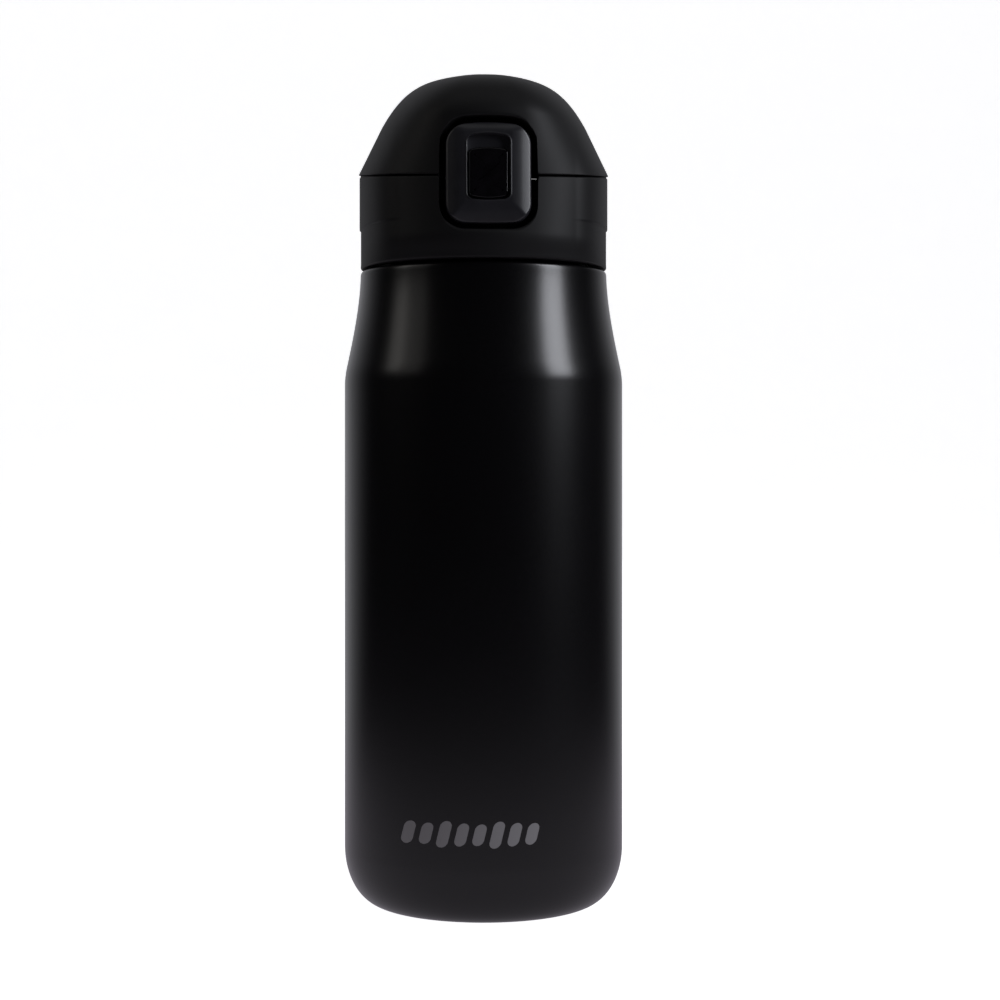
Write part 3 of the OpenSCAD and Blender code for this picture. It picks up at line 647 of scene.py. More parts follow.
def printed_bars(finish, settings):
    """1 on a row of slanted rounded bars printed low on the front, 0 elsewhere. The row repeats one bar;
    each bar's distance field is the distance from a short upright line less the bar's half width."""
    count, left, middle_z, slant, half_width, blur = 8, 4.5, 23.2, 0.24, 1.42, 0.06
    x, y, z = finish.axes()
    width = settings.print_width / MM
    pitch = width / count
    across = x + left + width / 2 - (z - middle_z) * slant
    cell = (across / pitch).alone("FLOOR")
    offset = across - (cell + 0.5) * pitch
    tall = abs((cell * 2.1 + 0.6).alone("SINE")) * 1.1 + 0.75
    up = (abs(z - middle_z) - tall).most(0.0)
    reach = (offset * offset + up * up).alone("SQRT")
    bar_mask = 1 - (reach - half_width).ramp(-blur, blur)
    inside = (abs(across - width / 2) - width / 2).ramp(0.0, 0.02)
    front = 1 - y.ramp(-1.0, 1.0)
    return bar_mask * (1 - inside) * front


def powder_coat(settings):
    """Matt powder coat: near black, a fine orange-peel grain, tiny paler specks and the printed bars."""
    f = Finish("Powder coat")
    grain = f.noise(0.34, 3.0, 0.6)
    peel = f.noise(1.6, 2.0, 0.5)
    cloud = f.noise(38.0, 2.0, 0.5)
    mask = printed_bars(f, settings)
    coat = tone(f, grain * 0.75 + cloud * 0.25, settings.coat, 0.72, 1.5, high=0.75)
    colour = f.mix(mask, coat, settings.print_colour)
    rough = 0.2 + 0.07 * grain + 0.03 * cloud
    height = (grain * 0.7 + peel * 0.5) * (1 - 0.6 * mask) + mask * 0.6
    return f.close(Base_Color=colour, Roughness=rough + mask * 0.08, Normal=f.bump(height, 0.009, 0.5),
                   Specular_IOR_Level=0.5)


def lid_plastic(settings):
    """Matt moulded polypropylene: fine spark-eroded grain, faint flow clouds and softly polished high
    spots."""
    f = Finish("Lid plastic")
    grain = f.noise(0.22, 3.0, 0.65)
    flow = f.noise(14.0, 3.0, 0.55, (1.0, 1.0, 0.35))
    colour = tone(f, grain * 0.6 + flow * 0.4, settings.plastic, 0.8, 1.3)
    rough = 0.5 + 0.08 * grain + 0.06 * flow
    return f.close(Base_Color=colour, Roughness=rough, Normal=f.bump(grain + flow * 0.15, 0.006, 0.5),
                   Specular_IOR_Level=0.36)


def button_plastic(settings):
    """Satin moulded plastic with a very fine grain that sparkles in a highlight."""
    f = Finish("Button plastic")
    grain = f.noise(0.16, 3.0, 0.7)
    cloud = f.noise(6.0, 2.0, 0.5)
    colour = tone(f, grain * 0.5 + cloud * 0.5, settings.plastic, 0.85, 1.25)
    return f.close(Base_Color=colour, Roughness=0.27 + 0.1 * grain + 0.04 * cloud,
                   Normal=f.bump(grain, 0.005, 0.45), Specular_IOR_Level=0.55)


def slider_plastic(settings):
    """Polished black plastic with faint rubbing marks that run up and down."""
    f = Finish("Slider plastic")
    rub = f.noise(0.5, 3.0, 0.6, (1.0, 1.0, 0.06))
    swirl = f.noise(3.0, 2.0, 0.5)
    colour = tone(f, swirl, settings.slider, 0.8, 1.5)
    return f.close(Base_Color=colour, Roughness=0.1 + 0.09 * rub.ramp(0.45, 0.8),
                   Normal=f.bump(swirl, 0.01, 0.25), Specular_IOR_Level=0.5)


def moulded(name, colour, roughness, size=0.3, depth=0.012):
    """Plain moulded plastic or rubber with a fine grain and slow changes of tone."""
    f = Finish(name)
    grain = f.noise(size, 3.0, 0.6)
    cloud = f.noise(size * 30, 2.0, 0.5)
    colour = tone(f, grain * 0.5 + cloud * 0.5, colour, 0.85, 1.18)
    return f.close(Base_Color=colour, Roughness=roughness - 0.04 + 0.1 * grain,
                   Normal=f.bump(grain, depth, 0.5))


def steel(name, colour, roughness, stretch, size=0.5, depth=0.006):
    """Bare steel with a drawn or brushed direction: noise stretched along it varies tone, gloss and
    height."""
    f = Finish(name)
    lines = f.noise(size, 4.0, 0.65, stretch)
    cloud = f.noise(22.0, 2.0, 0.5)
    colour = tone(f, lines * 0.6 + cloud * 0.4, colour, 0.86, 1.1)
    return f.close(Base_Color=colour, Metallic=1.0, Roughness=roughness + 0.14 * lines,
                   Normal=f.bump(lines, depth, 0.6))


# ---------------------------------------------------------------- pieces

FOOT_IN, FOOT_R = 22.0, 26.5  # the bottle's flat foot
CORNER_W, CORNER_H = 9.5, 14.8  # the foot's elliptical corner
SHOULDER_Z, SHOULDER_TOP_R, SHOULDER_TOP_Z = 136.0, 31.9, 163.2
THREAD_Z, THREAD_TURNS, THREAD_PITCH = 167.15, 1.5, 4.0
THREAD_H, THREAD_FOOT, THREAD_ROOT, THREAD_FADE = 1.1, 0.85, 0.35, 7


def bottle_line(settings):
    """The outer shell's outside from the foot to the lip, as (radius, height): a flat foot, an elliptical
    corner, the straight wall, a softened edge, the shoulder's curve, a rounded top and the neck."""
    z, top_r, top_z = SHOULDER_Z, SHOULDER_TOP_R, SHOULDER_TOP_Z
    a = np.linspace(0, math.pi / 2, 30)
    corner = np.stack([FOOT_R + CORNER_W * np.sin(a), CORNER_H - CORNER_H * np.cos(a)], 1)
    leaves, arrives = [BODY_R - 1.1, z + 5.44], [32.1, 152.864]
    shoulder = bezier([BODY_R, z], leaves, arrives, [top_r, top_z - 0.8], 60)
    soft = settings.edge_soft / MM
    past = np.searchsorted(shoulder[:, 1], z + soft)
    edge = bend([BODY_R, z - soft], [BODY_R, z], shoulder[past], 12)
    top = bend([top_r, top_z - 1.1], [top_r - 0.04, top_z], [top_r - 1.0, top_z], 7)
    return np.concatenate([
        np.linspace([FOOT_IN, 0.0], [FOOT_R - 0.7, 0.0], 4), corner,
        np.linspace([BODY_R, CORNER_H + 3], [BODY_R, z - soft - 1], 14), edge, shoulder[past + 1:-1:2], top,
        bend([NECK_R + 1.2, top_z], [NECK_R, top_z], [NECK_R, top_z + 1.2], 5),
        [[NECK_R, 170.0], [NECK_R, NECK_TOP]]])


def capped(rings):
    """Adds a row at each end of a grid whose points all meet in the middle of its first or last ring."""
    ends = [np.repeat(ring.mean(0)[None], len(ring), 0)[None] for ring in (rings[0], rings[-1])]
    return np.concatenate([ends[0], rings, ends[1]])


def thread(wall, z, turns, pitch, height, foot):
    """A rounded ridge that climbs a pitch a turn and fades into the wall at both ends."""
    share = np.linspace(0, 1, int(96 * turns))
    a = 2 * math.pi * turns * share
    fade = smooth(share * turns * THREAD_FADE) * smooth((1 - share) * turns * THREAD_FADE)
    b = np.linspace(0, 2 * math.pi, 18, endpoint=False)
    out = -THREAD_ROOT + (height + THREAD_ROOT) * (0.5 + 0.5 * np.cos(b))[None, :] * fade[:, None]
    up = foot * np.sin(b)[None, :] * (0.4 + 0.6 * fade[:, None])
    r, h = wall + out, z + pitch * a[:, None] / (2 * math.pi) + up
    return capped(np.stack([r * np.sin(a)[:, None], -r * np.cos(a)[:, None], h], -1))


class FLASK_OT_bottle(bpy.types.Operator):
    """Builds the powder-coated outer shell with its threaded neck"""
    bl_idname = "flask.bottle"
    bl_label = "Bottle shell"

    def execute(self, context):
        settings = context.scene.flask_bottle
        outer = bottle_line(settings)
        ahead = np.gradient(outer, axis=0)
        inward = np.stack([-ahead[:, 1], ahead[:, 0]], 1)
        inward /= np.linalg.norm(inward, axis=1)[:, None]
        inner = outer + inward * settings.sheet / MM
        inner[:, 1] = np.clip(inner[:, 1], settings.sheet / MM, NECK_TOP)
        shells = Shells().add(turned(np.concatenate([outer, inner[::-1]]), 256), wrap_rows=True)
        shells.add(thread(NECK_R, THREAD_Z, THREAD_TURNS, THREAD_PITCH, THREAD_H, THREAD_FOOT))
        place("bottle_shell", shells.mesh("bottle_shell", 40), powder_coat(settings), "bottle",
              ["outer_shell"])
        return {"FINISHED"}


def collar_edge(lid):
    """Half of the collar's upper edge as (length round, height): the well's outline, the seam, the notch
    for an arm and the seam over the middle knuckle. Also gives the length round at which the well
    ends."""
    gap, slope = SEAM_GAP / 2 / math.cos(TILT), math.tan(TILT)
    well = well_half(lid, False, (seam_front(lid) - gap - BUTTON_AT[2]) / math.cos(LEAN))
    z = BUTTON_AT[2] + well[:, 1] * math.cos(LEAN)
    well = np.stack([LID_R * np.arcsin(well[:, 0] / (COLLAR_R + COLLAR_STEP * front_ramp(z))), z], 1)
    a = np.linspace(well[-1, 0] / LID_R, math.pi, 400)
    height = SEAM_Z - slope * LID_R * np.cos(a) - gap
    for _ in range(8):
        height = SEAM_Z + slope * collar_skin(a, height, lid)[:, 1] - gap
    notch_z = HINGE[2] - NOTCH_DEPTH
    x, back = LID_R * np.sin(a), a > math.pi / 2
    arc = np.stack([LID_R * a, height], 1)
    front, rear = arc[~back | (x > NOTCH_OUT)], arc[back & (x < NOTCH_IN)]
    down, up = [front[-1, 0], notch_z], [rear[0, 0], notch_z]
    steps = [np.array([front[-1], down]), np.array([down, up]), np.array([up, rear[0]])]
    return half_loop([well, front, *steps, rear], EDGE_SPACING), well[-1, 0]


def collar_grid(lid, half, well_end):
    """The collar as one closed grid, from half its edge: the rounded edge, the outside with its rows
    gathered at the step, the rounded foot, the inside wall and the edge's flat face."""
    gap, slope = SEAM_GAP / 2 / math.cos(TILT), math.tan(TILT)
    top_a, top_z, low_a = strips(half)
    tall = top_z - COLLAR_Z

    def skin(share):
        """Strips run straight down from the edge to the foot in the plane of angle and height."""
        return collar_skin(top_a + (low_a - top_a) * share, top_z + (COLLAR_Z - top_z) * share, lid)

    edge = skin(np.zeros(len(top_a)))
    inner_a = inner_angle(edge, top_a, from_well(top_a, well_end), LID_IN_R, 0.95)
    inner_y = -LID_IN_R * np.cos(inner_a)
    seam_z = SEAM_Z + slope * edge[:, 1] - gap
    rise = (SEAM_Z + slope * inner_y - gap - seam_z) * smooth(1 - (seam_z - edge[:, 2]) / 3.0)
    inner_edge = np.stack([LID_IN_R * np.sin(inner_a), inner_y, edge[:, 2] + rise], 1)
    start, rim, face = free_edge(lid, edge, inner_edge, top_a, well_end, SEAM_BEAD_LOW, skin)
    over, under = ((top_z - soft_min(STEP_Z + clear, COLLAR_Z + most * tall, 3.0)) / tall
                   for clear, most in ((0.7, 0.62), (-0.5, 0.46)))
    foot = 1 - 0.5 / tall
    shares = [start + (over - start) * k ** 1.25 for k in np.linspace(0, 1, 30)[1:]]
    shares += [over + (under - over) * k for k in np.linspace(0, 1, 9)[1:]]
    shares += [under + (foot - under) * k for k in np.linspace(0, 1, 16)[1:]]
    outside = np.stack([skin(k) for k in shares])
    foot_edge = skin(np.ones(len(top_a)))
    foot_in = foot_edge.copy()
    foot_in[:, :2] *= (LID_IN_R / np.hypot(foot_edge[:, 0], foot_edge[:, 1]))[:, None]
    foot_end = foot_edge + (foot_in - foot_edge) * 0.25
    foot_round = rounded(outside[-1], foot_edge, foot_end, np.linspace(0, 1, 5)[1:, None, None])
    foot_a = np.arctan2(foot_in[:, 0], -foot_in[:, 1])
    turn = np.unwrap(np.stack([foot_a, inner_a]), axis=0)
    up = np.linspace(0, 1, 12)[:, None]
    inner_turn = turn[0] + (turn[1] - turn[0]) * up
    inner_z = foot_in[:, 2] + (inner_edge[:, 2] - foot_in[:, 2]) * up
    inside = np.stack([LID_IN_R * np.sin(inner_turn), -LID_IN_R * np.cos(inner_turn), inner_z], -1)
    return np.concatenate([rim, outside, foot_round, inside, face])


def seam_tongue(start):
    """A thin wall inside the seam, which shuts the gap between the mouldings from the well round the back."""
    a = np.linspace(start, 2 * math.pi - start, 240)
    r, z = np.array([[31.95, -2.0], [31.95, 0.02], [31.8, 0.16], [30.95, 0.16], [30.8, 0.02], [30.8, -2.0]]).T
    ring = np.stack([r * np.sin(a)[:, None], -r * np.cos(a)[:, None], np.repeat(z[None], len(a), 0)], -1)
    return lid_to_world(capped(ring))


def arc_points(y, z, radius, degrees):
    """Points at the given angles on a circle in the (y, z) plane."""
    a = np.radians(degrees)
    return np.stack([y + radius * np.cos(a), z + radius * np.sin(a)], 1)


def hinge_foot():
    """Corners of the middle knuckle and its foot, which flows down into the collar's back."""
    foot = [[-3.1, -3], [-3.2, -10.5], [-1.6, -10.2], [-0.4, -8.2], [1.4, -5.4], [2.6, -2.6]]
    return np.concatenate([arc_points(*HINGE[1:], KNUCKLE_R, np.arange(-20, 181, 10)), HINGE[1:] + foot])


def arm_line():
    """Corners of a hinge arm: the knuckle's circle and a back that rises along the dome's flank."""
    back = [[1.4, 3.2], [-1.8, 6.9], [-5.0, 10.4], [-7.8, 13.3],
            [-8.4, 12.6], [-5.6, 7.0], [-4.6, 4.2], [-3.6, 2.4]]
    return np.concatenate([arc_points(*HINGE[1:], KNUCKLE_R, np.arange(-190, 41, 10)), HINGE[1:] + back])


class FLASK_OT_collar(bpy.types.Operator):
    """Builds the collar: its two bands, the lower half of the well and the hinge's middle knuckle"""
    bl_idname = "flask.collar"
    bl_label = "Collar"

    def execute(self, context):
        lid = context.scene.flask_lid
        half, well_end = collar_edge(lid)
        shells = Shells().add(collar_grid(lid, half, well_end), wrap_rows=True)
        shells.add(bar(closed_line(hinge_foot(), 120, 10), -KNUCKLE_HALF, KNUCKLE_HALF, HINGE_SOFT))
        shells.add(seam_tongue(well_end / LID_R + 0.02))
        place("lid_collar", shells.mesh("lid_collar", 38), lid_plastic(lid), "collar",
              ["collar_shell"])
        return {"FINISHED"}


def dome_edge(lid, profile):
    """Half of the dome's lower edge as (length round, run up the profile): the well's outline, the seam
    and the notch over the middle knuckle. Also gives the length round at which the well ends."""
    gap = SEAM_GAP / 2

    def run_at(height):
        return np.interp(height, profile[:, 1], np.linspace(0, 1, len(profile))) * PROFILE_RUN

    seam_v = (seam_front(lid) + gap / math.cos(TILT) - BUTTON_AT[2]) / math.cos(LEAN)
    well = well_half(lid, True, seam_v)
    at = button_to_world(np.column_stack([well, -mound_bow(well[:, 0])]))
    height = -at[:, 1] * math.sin(TILT) + (at[:, 2] - SEAM_Z) * math.cos(TILT)
    height[-1] = gap
    radius = np.interp(height, profile[:, 1], profile[:, 0])
    well = np.stack([LID_R * np.arcsin(np.clip(at[:, 0] / radius, -1, 1)), run_at(height)], 1)
    a = np.linspace(well[-1, 0] / LID_R, math.pi - math.asin(DOME_NOTCH / LID_R), 300)
    arc = np.stack([LID_R * a, np.full(len(a), run_at(gap))], 1)
    corner, back = [arc[-1, 0], run_at(DOME_NOTCH_H)], [LID_R * math.pi, run_at(DOME_NOTCH_H)]
    steps = [np.array([arc[-1], corner]), np.array([corner, back])]
    return half_loop([well, arc, *steps], EDGE_SPACING), well[-1, 0]


def dome_grid(lid):
    """The dome's shell in the lid's frame as a grid from the inside's top round the edge to the outside's
    top."""
    profile, inner_profile = dome_profile(0.0), dome_profile(DOME_WALL)
    half, well_end = dome_edge(lid, profile)
    top_a, top_run, pole_a = strips(half)
    top_s = top_run / PROFILE_RUN

    def skin(run):
        """Strips run from the edge to the top in the plane of angle and profile share."""
        return dome_skin(top_a + (pole_a - top_a) * run, top_s + (1 - top_s) * run, lid, profile)

    def inner_radius(height):
        return np.interp(height, inner_profile[:, 1], inner_profile[:, 0])

    edge = skin(np.zeros(len(top_a)))
    past_well = from_well(top_a, well_end)
    inner_h = edge[:, 2]
    for _ in range(3):
        inner_a = inner_angle(edge, top_a, past_well, inner_radius(inner_h), 0.98)
        depth = -inner_radius(inner_h) * np.cos(inner_a) - edge[:, 1]
        drop = depth * math.tan(TILT + LEAN) * smooth((edge[:, 2] - SEAM_GAP / 2) / 5) * (1 - past_well)
        inner_h = edge[:, 2] - np.where(edge[:, 1] < WELL_Y, drop, 0)
    inner_r = inner_radius(inner_h)
    inner_edge = np.stack([inner_r * np.sin(inner_a), -inner_r * np.cos(inner_a), inner_h], 1)
    inner_s = np.interp(inner_h, inner_profile[:, 1], np.linspace(0, 1, len(inner_profile)))
    start, rim, face = free_edge(lid, edge, inner_edge, top_a, well_end, SEAM_BEAD_HIGH, skin)
    outside = np.stack([skin(start + (1 - start) * k) for k in np.linspace(0, 1, 74)[1:] ** 1.08])
    inside = np.stack([dome_skin(inner_a + (pole_a - inner_a) * k, inner_s + (1 - inner_s) * k, lid,
                                 inner_profile, 0.0) for k in np.linspace(1, 0, 22)])
    return np.concatenate([inside, face, rim, outside])


class FLASK_OT_dome(bpy.types.Operator):
    """Builds the flip lid's dome with the upper half of the well and the two hinge arms"""
    bl_idname = "flask.dome"
    bl_label = "Dome"

    def execute(self, context):
        lid = context.scene.flask_lid
        shells = Shells().add(lid_to_world(dome_grid(lid)))
        arm = closed_line(arm_line(), 130, 10)
        for low, high in ((-ARM_OUT, -ARM_IN), (ARM_IN, ARM_OUT)):
            shells.add(bar(arm, low, high, HINGE_SOFT))
        boss = np.array([[0, BOSS_LOW + 0.2], [1.2, BOSS_LOW], [BOSS_R, BOSS_LOW], [BOSS_R, BOSS_TOP],
                         [0, BOSS_TOP]])
        for angle in np.radians([45, 135, 225, 315]):
            at = (BOSS_AT * math.cos(angle), BOSS_AT * math.sin(angle))
            shells.add(lid_to_world(turned(boss, 32, at)))
        place("lid_dome", shells.mesh("lid_dome", 38), lid_plastic(lid), "dome",
              ["dome_shell"])
        return {"FINISHED"}


SLOT_W, SLOT_H, SLOT_V = 10.7, 16.6, 1.2  # the button's slot, and how far its middle lies over the button's
SLOT_CORNER, SLOT_BOW, SLOT_FLOOR, SLOT_RIM = 1.5, (0.45, 0.7), -0.55, 0.34
BUTTON_CORNER, BUTTON_BOW, BUTTON_BACK = 4.7, (0.5, 1.2), -3.4
FACE_TOP, FACE_LOW, FACE_RIM = 0.9, -0.95, 0.3  # heights of the face at its level rim and at its outline
EAR_Y, EAR_R, EAR_IN, EAR_OUT = -6.6, 1.9, 5.8, 8.2  # the pivot ears, and their ends across the button
LATCH = [[6.5, -3.2], [9.5, -3.2], [9.5, -7.0], [9.1, -7.4], [6.9, -7.4], [6.5, -7.0]]
LATCH_HALF, ARM_SOFT, ARM_ROOT = 4.5, 0.25, -3.2  # the latch arm's half width, the arms' edges and their root
STEM, STEM_HALF = [[-2.25, -1.1], [1.1, -1.1], [1.1, -3.7], [-2.25, -3.7]], 1.3  # behind the slider
SLIDER_W, SLIDER_H, SLIDER_V, SLIDER_CORNER, SLIDER_BOW = 9.8, 12.9, -0.25, 1.1, (0.7, 0.55)


def level(line, n):
    """A line of (x, y) points in the button's frame, all at height n over its face's plane."""
    return np.column_stack([line, np.full(len(line), n)])


def button_face(x, v, width, height):
    """Height of the button's face: level at the slot's rim, then four flanks that fall to the outline.
    The lower flanks meet in creases, and the upper ones blend."""
    slot_w, slot_h, rim = SLOT_W / 2, SLOT_H / 2, FACE_RIM

    def flank(d, span, bowed):
        d = np.maximum(d, 0) / span
        return FACE_TOP - (FACE_TOP - FACE_LOW) * ((1 - bowed) * d + bowed * d * d)

    side = flank(np.abs(x) - slot_w - rim, width / 2 - slot_w - rim, 0.3)
    under = flank(SLOT_V - slot_h - rim - v, height / 2 - slot_h + SLOT_V - rim, 0.18)
    over = flank(v - SLOT_V - slot_h - rim, height / 2 - slot_h - SLOT_V - rim, 0.3)
    return soft_min(soft_min(side, under, 0.14), over, 0.9)


def button_rows(width, height):
    """Closed rows from the middle of the slot's floor over its rim, face and side to the middle of the
    back."""
    def slot(grow, corner=SLOT_CORNER):
        return outline(SLOT_W + 2 * grow, SLOT_H + 2 * grow, corner + grow, SLOT_BOW, 16, 14) + [0, SLOT_V]

    def outer(grow):
        return outline(width + 2 * grow, height + 2 * grow, BUTTON_CORNER + grow, BUTTON_BOW, 16, 14)

    def on_face(line):
        return np.column_stack([line, button_face(line[:, 0], line[:, 1], width, height)])

    floor, count = SLOT_FLOOR, len(slot(0))
    rows = [np.tile([0, SLOT_V, floor], (count, 1)), level(slot(-2.5, 3.2), floor), level(slot(-0.35), floor),
            level(slot(-0.1), floor + 0.1), level(slot(0), floor + 0.3), level(slot(0), 0.65)]
    near, edge, side = slot(SLOT_RIM), outer(-0.45), outer(0)
    rows += [rounded(rows[5], level(slot(0), FACE_TOP), on_face(near), t) for t in np.linspace(0, 1, 5)[1:]]
    rows += [on_face(near * (1 - t) + edge * t) for t in np.linspace(0, 1, 24)[1:]]
    rows += [rounded(rows[-1], on_face(side), level(side, -1.75), t) for t in np.linspace(0, 1, 7)[1:]]
    rows += [level(side, -3.1), level(outer(-0.3), BUTTON_BACK), level(outer(-4), BUTTON_BACK)]
    return rows + [np.tile([0, 0, BUTTON_BACK], (count, 1))]


class FLASK_OT_button(bpy.types.Operator):
    """Builds the push button: flanked face, slot, side wall, pivot ears and latch arm"""
    bl_idname = "flask.button"
    bl_label = "Push button"

    def execute(self, context):
        settings = context.scene.flask_button
        rows = button_rows(settings.width / MM, settings.height / MM)
        shells = Shells().add(button_to_world(loft(rows)))
        tip = arc_points(0, EAR_Y, EAR_R, np.arange(180, 361, 10))
        ear = closed_line(np.concatenate([tip, [[EAR_R, ARM_ROOT], [-EAR_R, ARM_ROOT]]]), 60, 2)
        latch = closed_line(LATCH, 60, 2)
        arms = (ear, -EAR_OUT, -EAR_IN), (ear, EAR_IN, EAR_OUT), (latch, -LATCH_HALF, LATCH_HALF)
        for line, low, high in arms:
            shells.add(button_to_world(bar(line, low, high, ARM_SOFT)))
        place("push_button", shells.mesh("push_button", 34), button_plastic(settings), "button",
              ["button"])
        return {"FINISHED"}


class FLASK_OT_slider(bpy.types.Operator):
    """Builds the glossy lock slider in the button's slot"""
    bl_idname = "flask.slider"
    bl_label = "Lock slider"

    def execute(self, context):
        def ring(grow, n):
            corner = SLIDER_CORNER + grow * 0.6
            line = outline(SLIDER_W + 2 * grow, SLIDER_H + 2 * grow, corner, SLIDER_BOW, 14, 12)
            return level(line + [0, SLIDER_V], n)

        def pole(n):
            return np.tile([0, SLIDER_V, n], (len(ring(0, 0)), 1))

        rows = [pole(0.36), ring(-3.2, 0.355), ring(-1.3, 0.33), ring(-0.8, 0.31)]
        edge = ring(-0.75, 0.3), ring(-0.05, 0.28), ring(0, -0.45)
        rows += [rounded(*edge, t) for t in np.linspace(0, 1, 9)]
        rows += [ring(0, -1.1), ring(-0.15, -1.2), ring(-3, -1.2), pole(-1.2)]
        shells = Shells().add(button_to_world(loft(rows)))
        shells.add(button_to_world(bar(closed_line(STEM, 40, 1), -STEM_HALF, STEM_HALF, 0.2)))
        finish = slider_plastic(context.scene.flask_button)
        place("slider_cap", shells.mesh("slider_cap", 24), finish, "slider",
              ["lock_slider"])
        return {"FINISHED"}


def softened(node, name, width, finish, body, angle=38, segments=2):
    """A merged copy of a CAD node's mesh with its edges rounded by a Bevel modifier, in place of the node."""
    work = bmesh.new()
    work.from_mesh(frame["nodes"][node].data)
    bmesh.ops.remove_doubles(work, verts=work.verts, dist=2e-6)
    bmesh.ops.dissolve_limit(work, angle_limit=math.radians(0.6), verts=work.verts, edges=work.edges)
    work.verts.index_update()
    points = [v.co[:] for v in work.verts]
    faces = [[v.index for v in f.verts] for f in work.faces]
    work.free()
    mesh = bpy.data.meshes.new(name)
    mesh.from_pydata(points, [], faces)
    mesh.update()
    mesh.polygons.foreach_set("use_smooth", np.ones(len(mesh.polygons), bool))
    piece = place(name, mesh, finish, body, [node])
    mesh.set_sharp_from_angle(angle=math.radians(angle))
    edges = piece.modifiers.new("Rounded edges", "BEVEL")
    edges.width, edges.segments, edges.limit_method = width * MM, segments, "ANGLE"
    edges.angle_limit = math.radians(angle)


class FLASK_OT_stopper(bpy.types.Operator):
    """Builds the collar's parts under the dome: the threaded stopper and the drinking spout"""
    bl_idname = "flask.stopper"
    bl_label = "Stopper and spout"

    def execute(self, context):
        black = moulded("Stopper plastic", (0.016, 0.016, 0.018), 0.42, 0.25)
        softened("stopper_body", "stopper_deck", 0.25, black, "collar")
        satin = moulded("Spout plastic", (0.02, 0.02, 0.022), 0.34, 0.2)
        softened("spout", "drink_spout", 0.5, satin, "collar", segments=3)
        return {"FINISHED"}


WIRE_R, COIL_STEPS = 0.35, 40
HINGE_TURNS, BUTTON_TURNS, BUTTON_COIL_R = 7, 3, 1.9
BUTTON_COIL_Y, BUTTON_COIL_BACK, BUTTON_COIL_FRONT = -8.2, -6.6, -3.85  # in the button's frame


def turns_of(turns):
    """The angles of a coil's points."""
    return np.linspace(0, turns * 2 * math.pi, turns * COIL_STEPS)


class FLASK_OT_springs(bpy.types.Operator):
    """Builds the hinge's torsion spring and the button's spring as round wires"""
    bl_idname = "flask.springs"
    bl_label = "Springs"

    def execute(self, context):
        finish = steel("Spring wire", (0.62, 0.62, 0.63), 0.24, (1.0, 1.0, 1.0), 0.2)
        low, high = box_mm("lid_spring")
        a = turns_of(HINGE_TURNS)
        across = np.linspace(low[0] + WIRE_R, high[0] - WIRE_R, len(a))
        r = (high[1] - low[1]) / 2 - WIRE_R
        hinge = np.stack([across, HINGE[1] + r * np.cos(a), HINGE[2] + r * np.sin(a)], 1)
        a, r = turns_of(BUTTON_TURNS), BUTTON_COIL_R
        run = np.linspace(BUTTON_COIL_BACK, BUTTON_COIL_FRONT, len(a))
        button = button_to_world(np.stack([r * np.cos(a), BUTTON_COIL_Y + r * np.sin(a), run], 1))
        coils = (("hinge_coil", hinge, "lid_spring"), ("button_coil", button, "button_spring"))
        for name, path, node in coils:
            coil = Shells().add(swept_wire(path, WIRE_R))
            place(name, coil.mesh(name, 60), finish, "collar", [node])
        return {"FINISHED"}


class FLASK_OT_fittings(bpy.types.Operator):
    """Gives the CAD nodes that stay as they are their finishes"""
    bl_idname = "flask.fittings"
    bl_label = "Fittings"

    def execute(self, context):
        silicone = moulded("Silicone", (0.42, 0.42, 0.4), 0.5, 0.4, 0.01)
        liner = moulded("Liner plastic", (0.016, 0.016, 0.018), 0.4, 0.25)
        vessel = steel("Vessel steel", (0.6, 0.6, 0.6), 0.2, (1.0, 1.0, 0.05), 0.6)
        base = steel("Base steel", (0.5, 0.5, 0.51), 0.3, (1.0, 1.0, 1.0), 0.4)
        pin = steel("Pin steel", (0.62, 0.62, 0.63), 0.18, (0.05, 1.0, 1.0), 0.3)
        finishes = {
            "inner_vessel": vessel, "inner_base": vessel, "base_plate": base,
            "base_cover": moulded("Base cover plastic", (0.013, 0.013, 0.014), 0.45, 0.3),
            "vacuum_seal": steel("Seal solder", (0.3, 0.31, 0.29), 0.42, (1.0, 1.0, 1.0), 0.7),
            "getter": steel("Getter metal", (0.5, 0.46, 0.38), 0.4, (1.0, 1.0, 1.0), 0.5),
            "heat_foil": steel("Heat foil", (0.75, 0.56, 0.4), 0.25, (1.0, 1.0, 0.2), 2.0, 0.03),
            "spout_gasket": silicone, "mouth_gasket": silicone, "hinge_pin": pin, "button_pin": pin,
            "lock_bolt": moulded("Bolt plastic", (0.2, 0.2, 0.2), 0.4, 0.25),
        }
        for node, finish in finishes.items():
            mesh = frame["nodes"][node].data
            mesh.materials.clear()
            mesh.materials.append(finish)
        softened("dome_liner", "liner_plate", 0.25, liner, "dome")
        softened("spout_seal", "seal_pad", 0.4, silicone, "dome", segments=3)
        softened("catch_plate", "catch_hook", 0.1, pin, "dome")
        softened("liner_screws", "cap_screws", 0.12, pin, "dome")
        return {"FINISHED"}


# ---------------------------------------------------------------- stage

# Places and sizes in metres, powers in watts
SWEEP_R, SWEEP_CURVE, SWEEP_TOP = 3.0, 1.0, 3.5  # the bowl's wall, the curve up to it and its height
COOL, WARM, WHITE = (0.92, 0.94, 1.0), (1.0, 0.97, 0.93), (1.0, 1.0, 1.0)
FILL_POWER, TOP_POWER = 0.5, 1.5
CAMERA_LENS, CAMERA_SENSOR, CAMERA_SHIFT = 74.0, 36.0, (0.0165, -0.0305)
CAMERA_REACH, CAMERA_Z, CAMERA_TURN = 0.535, 0.112, math.radians(2.2)


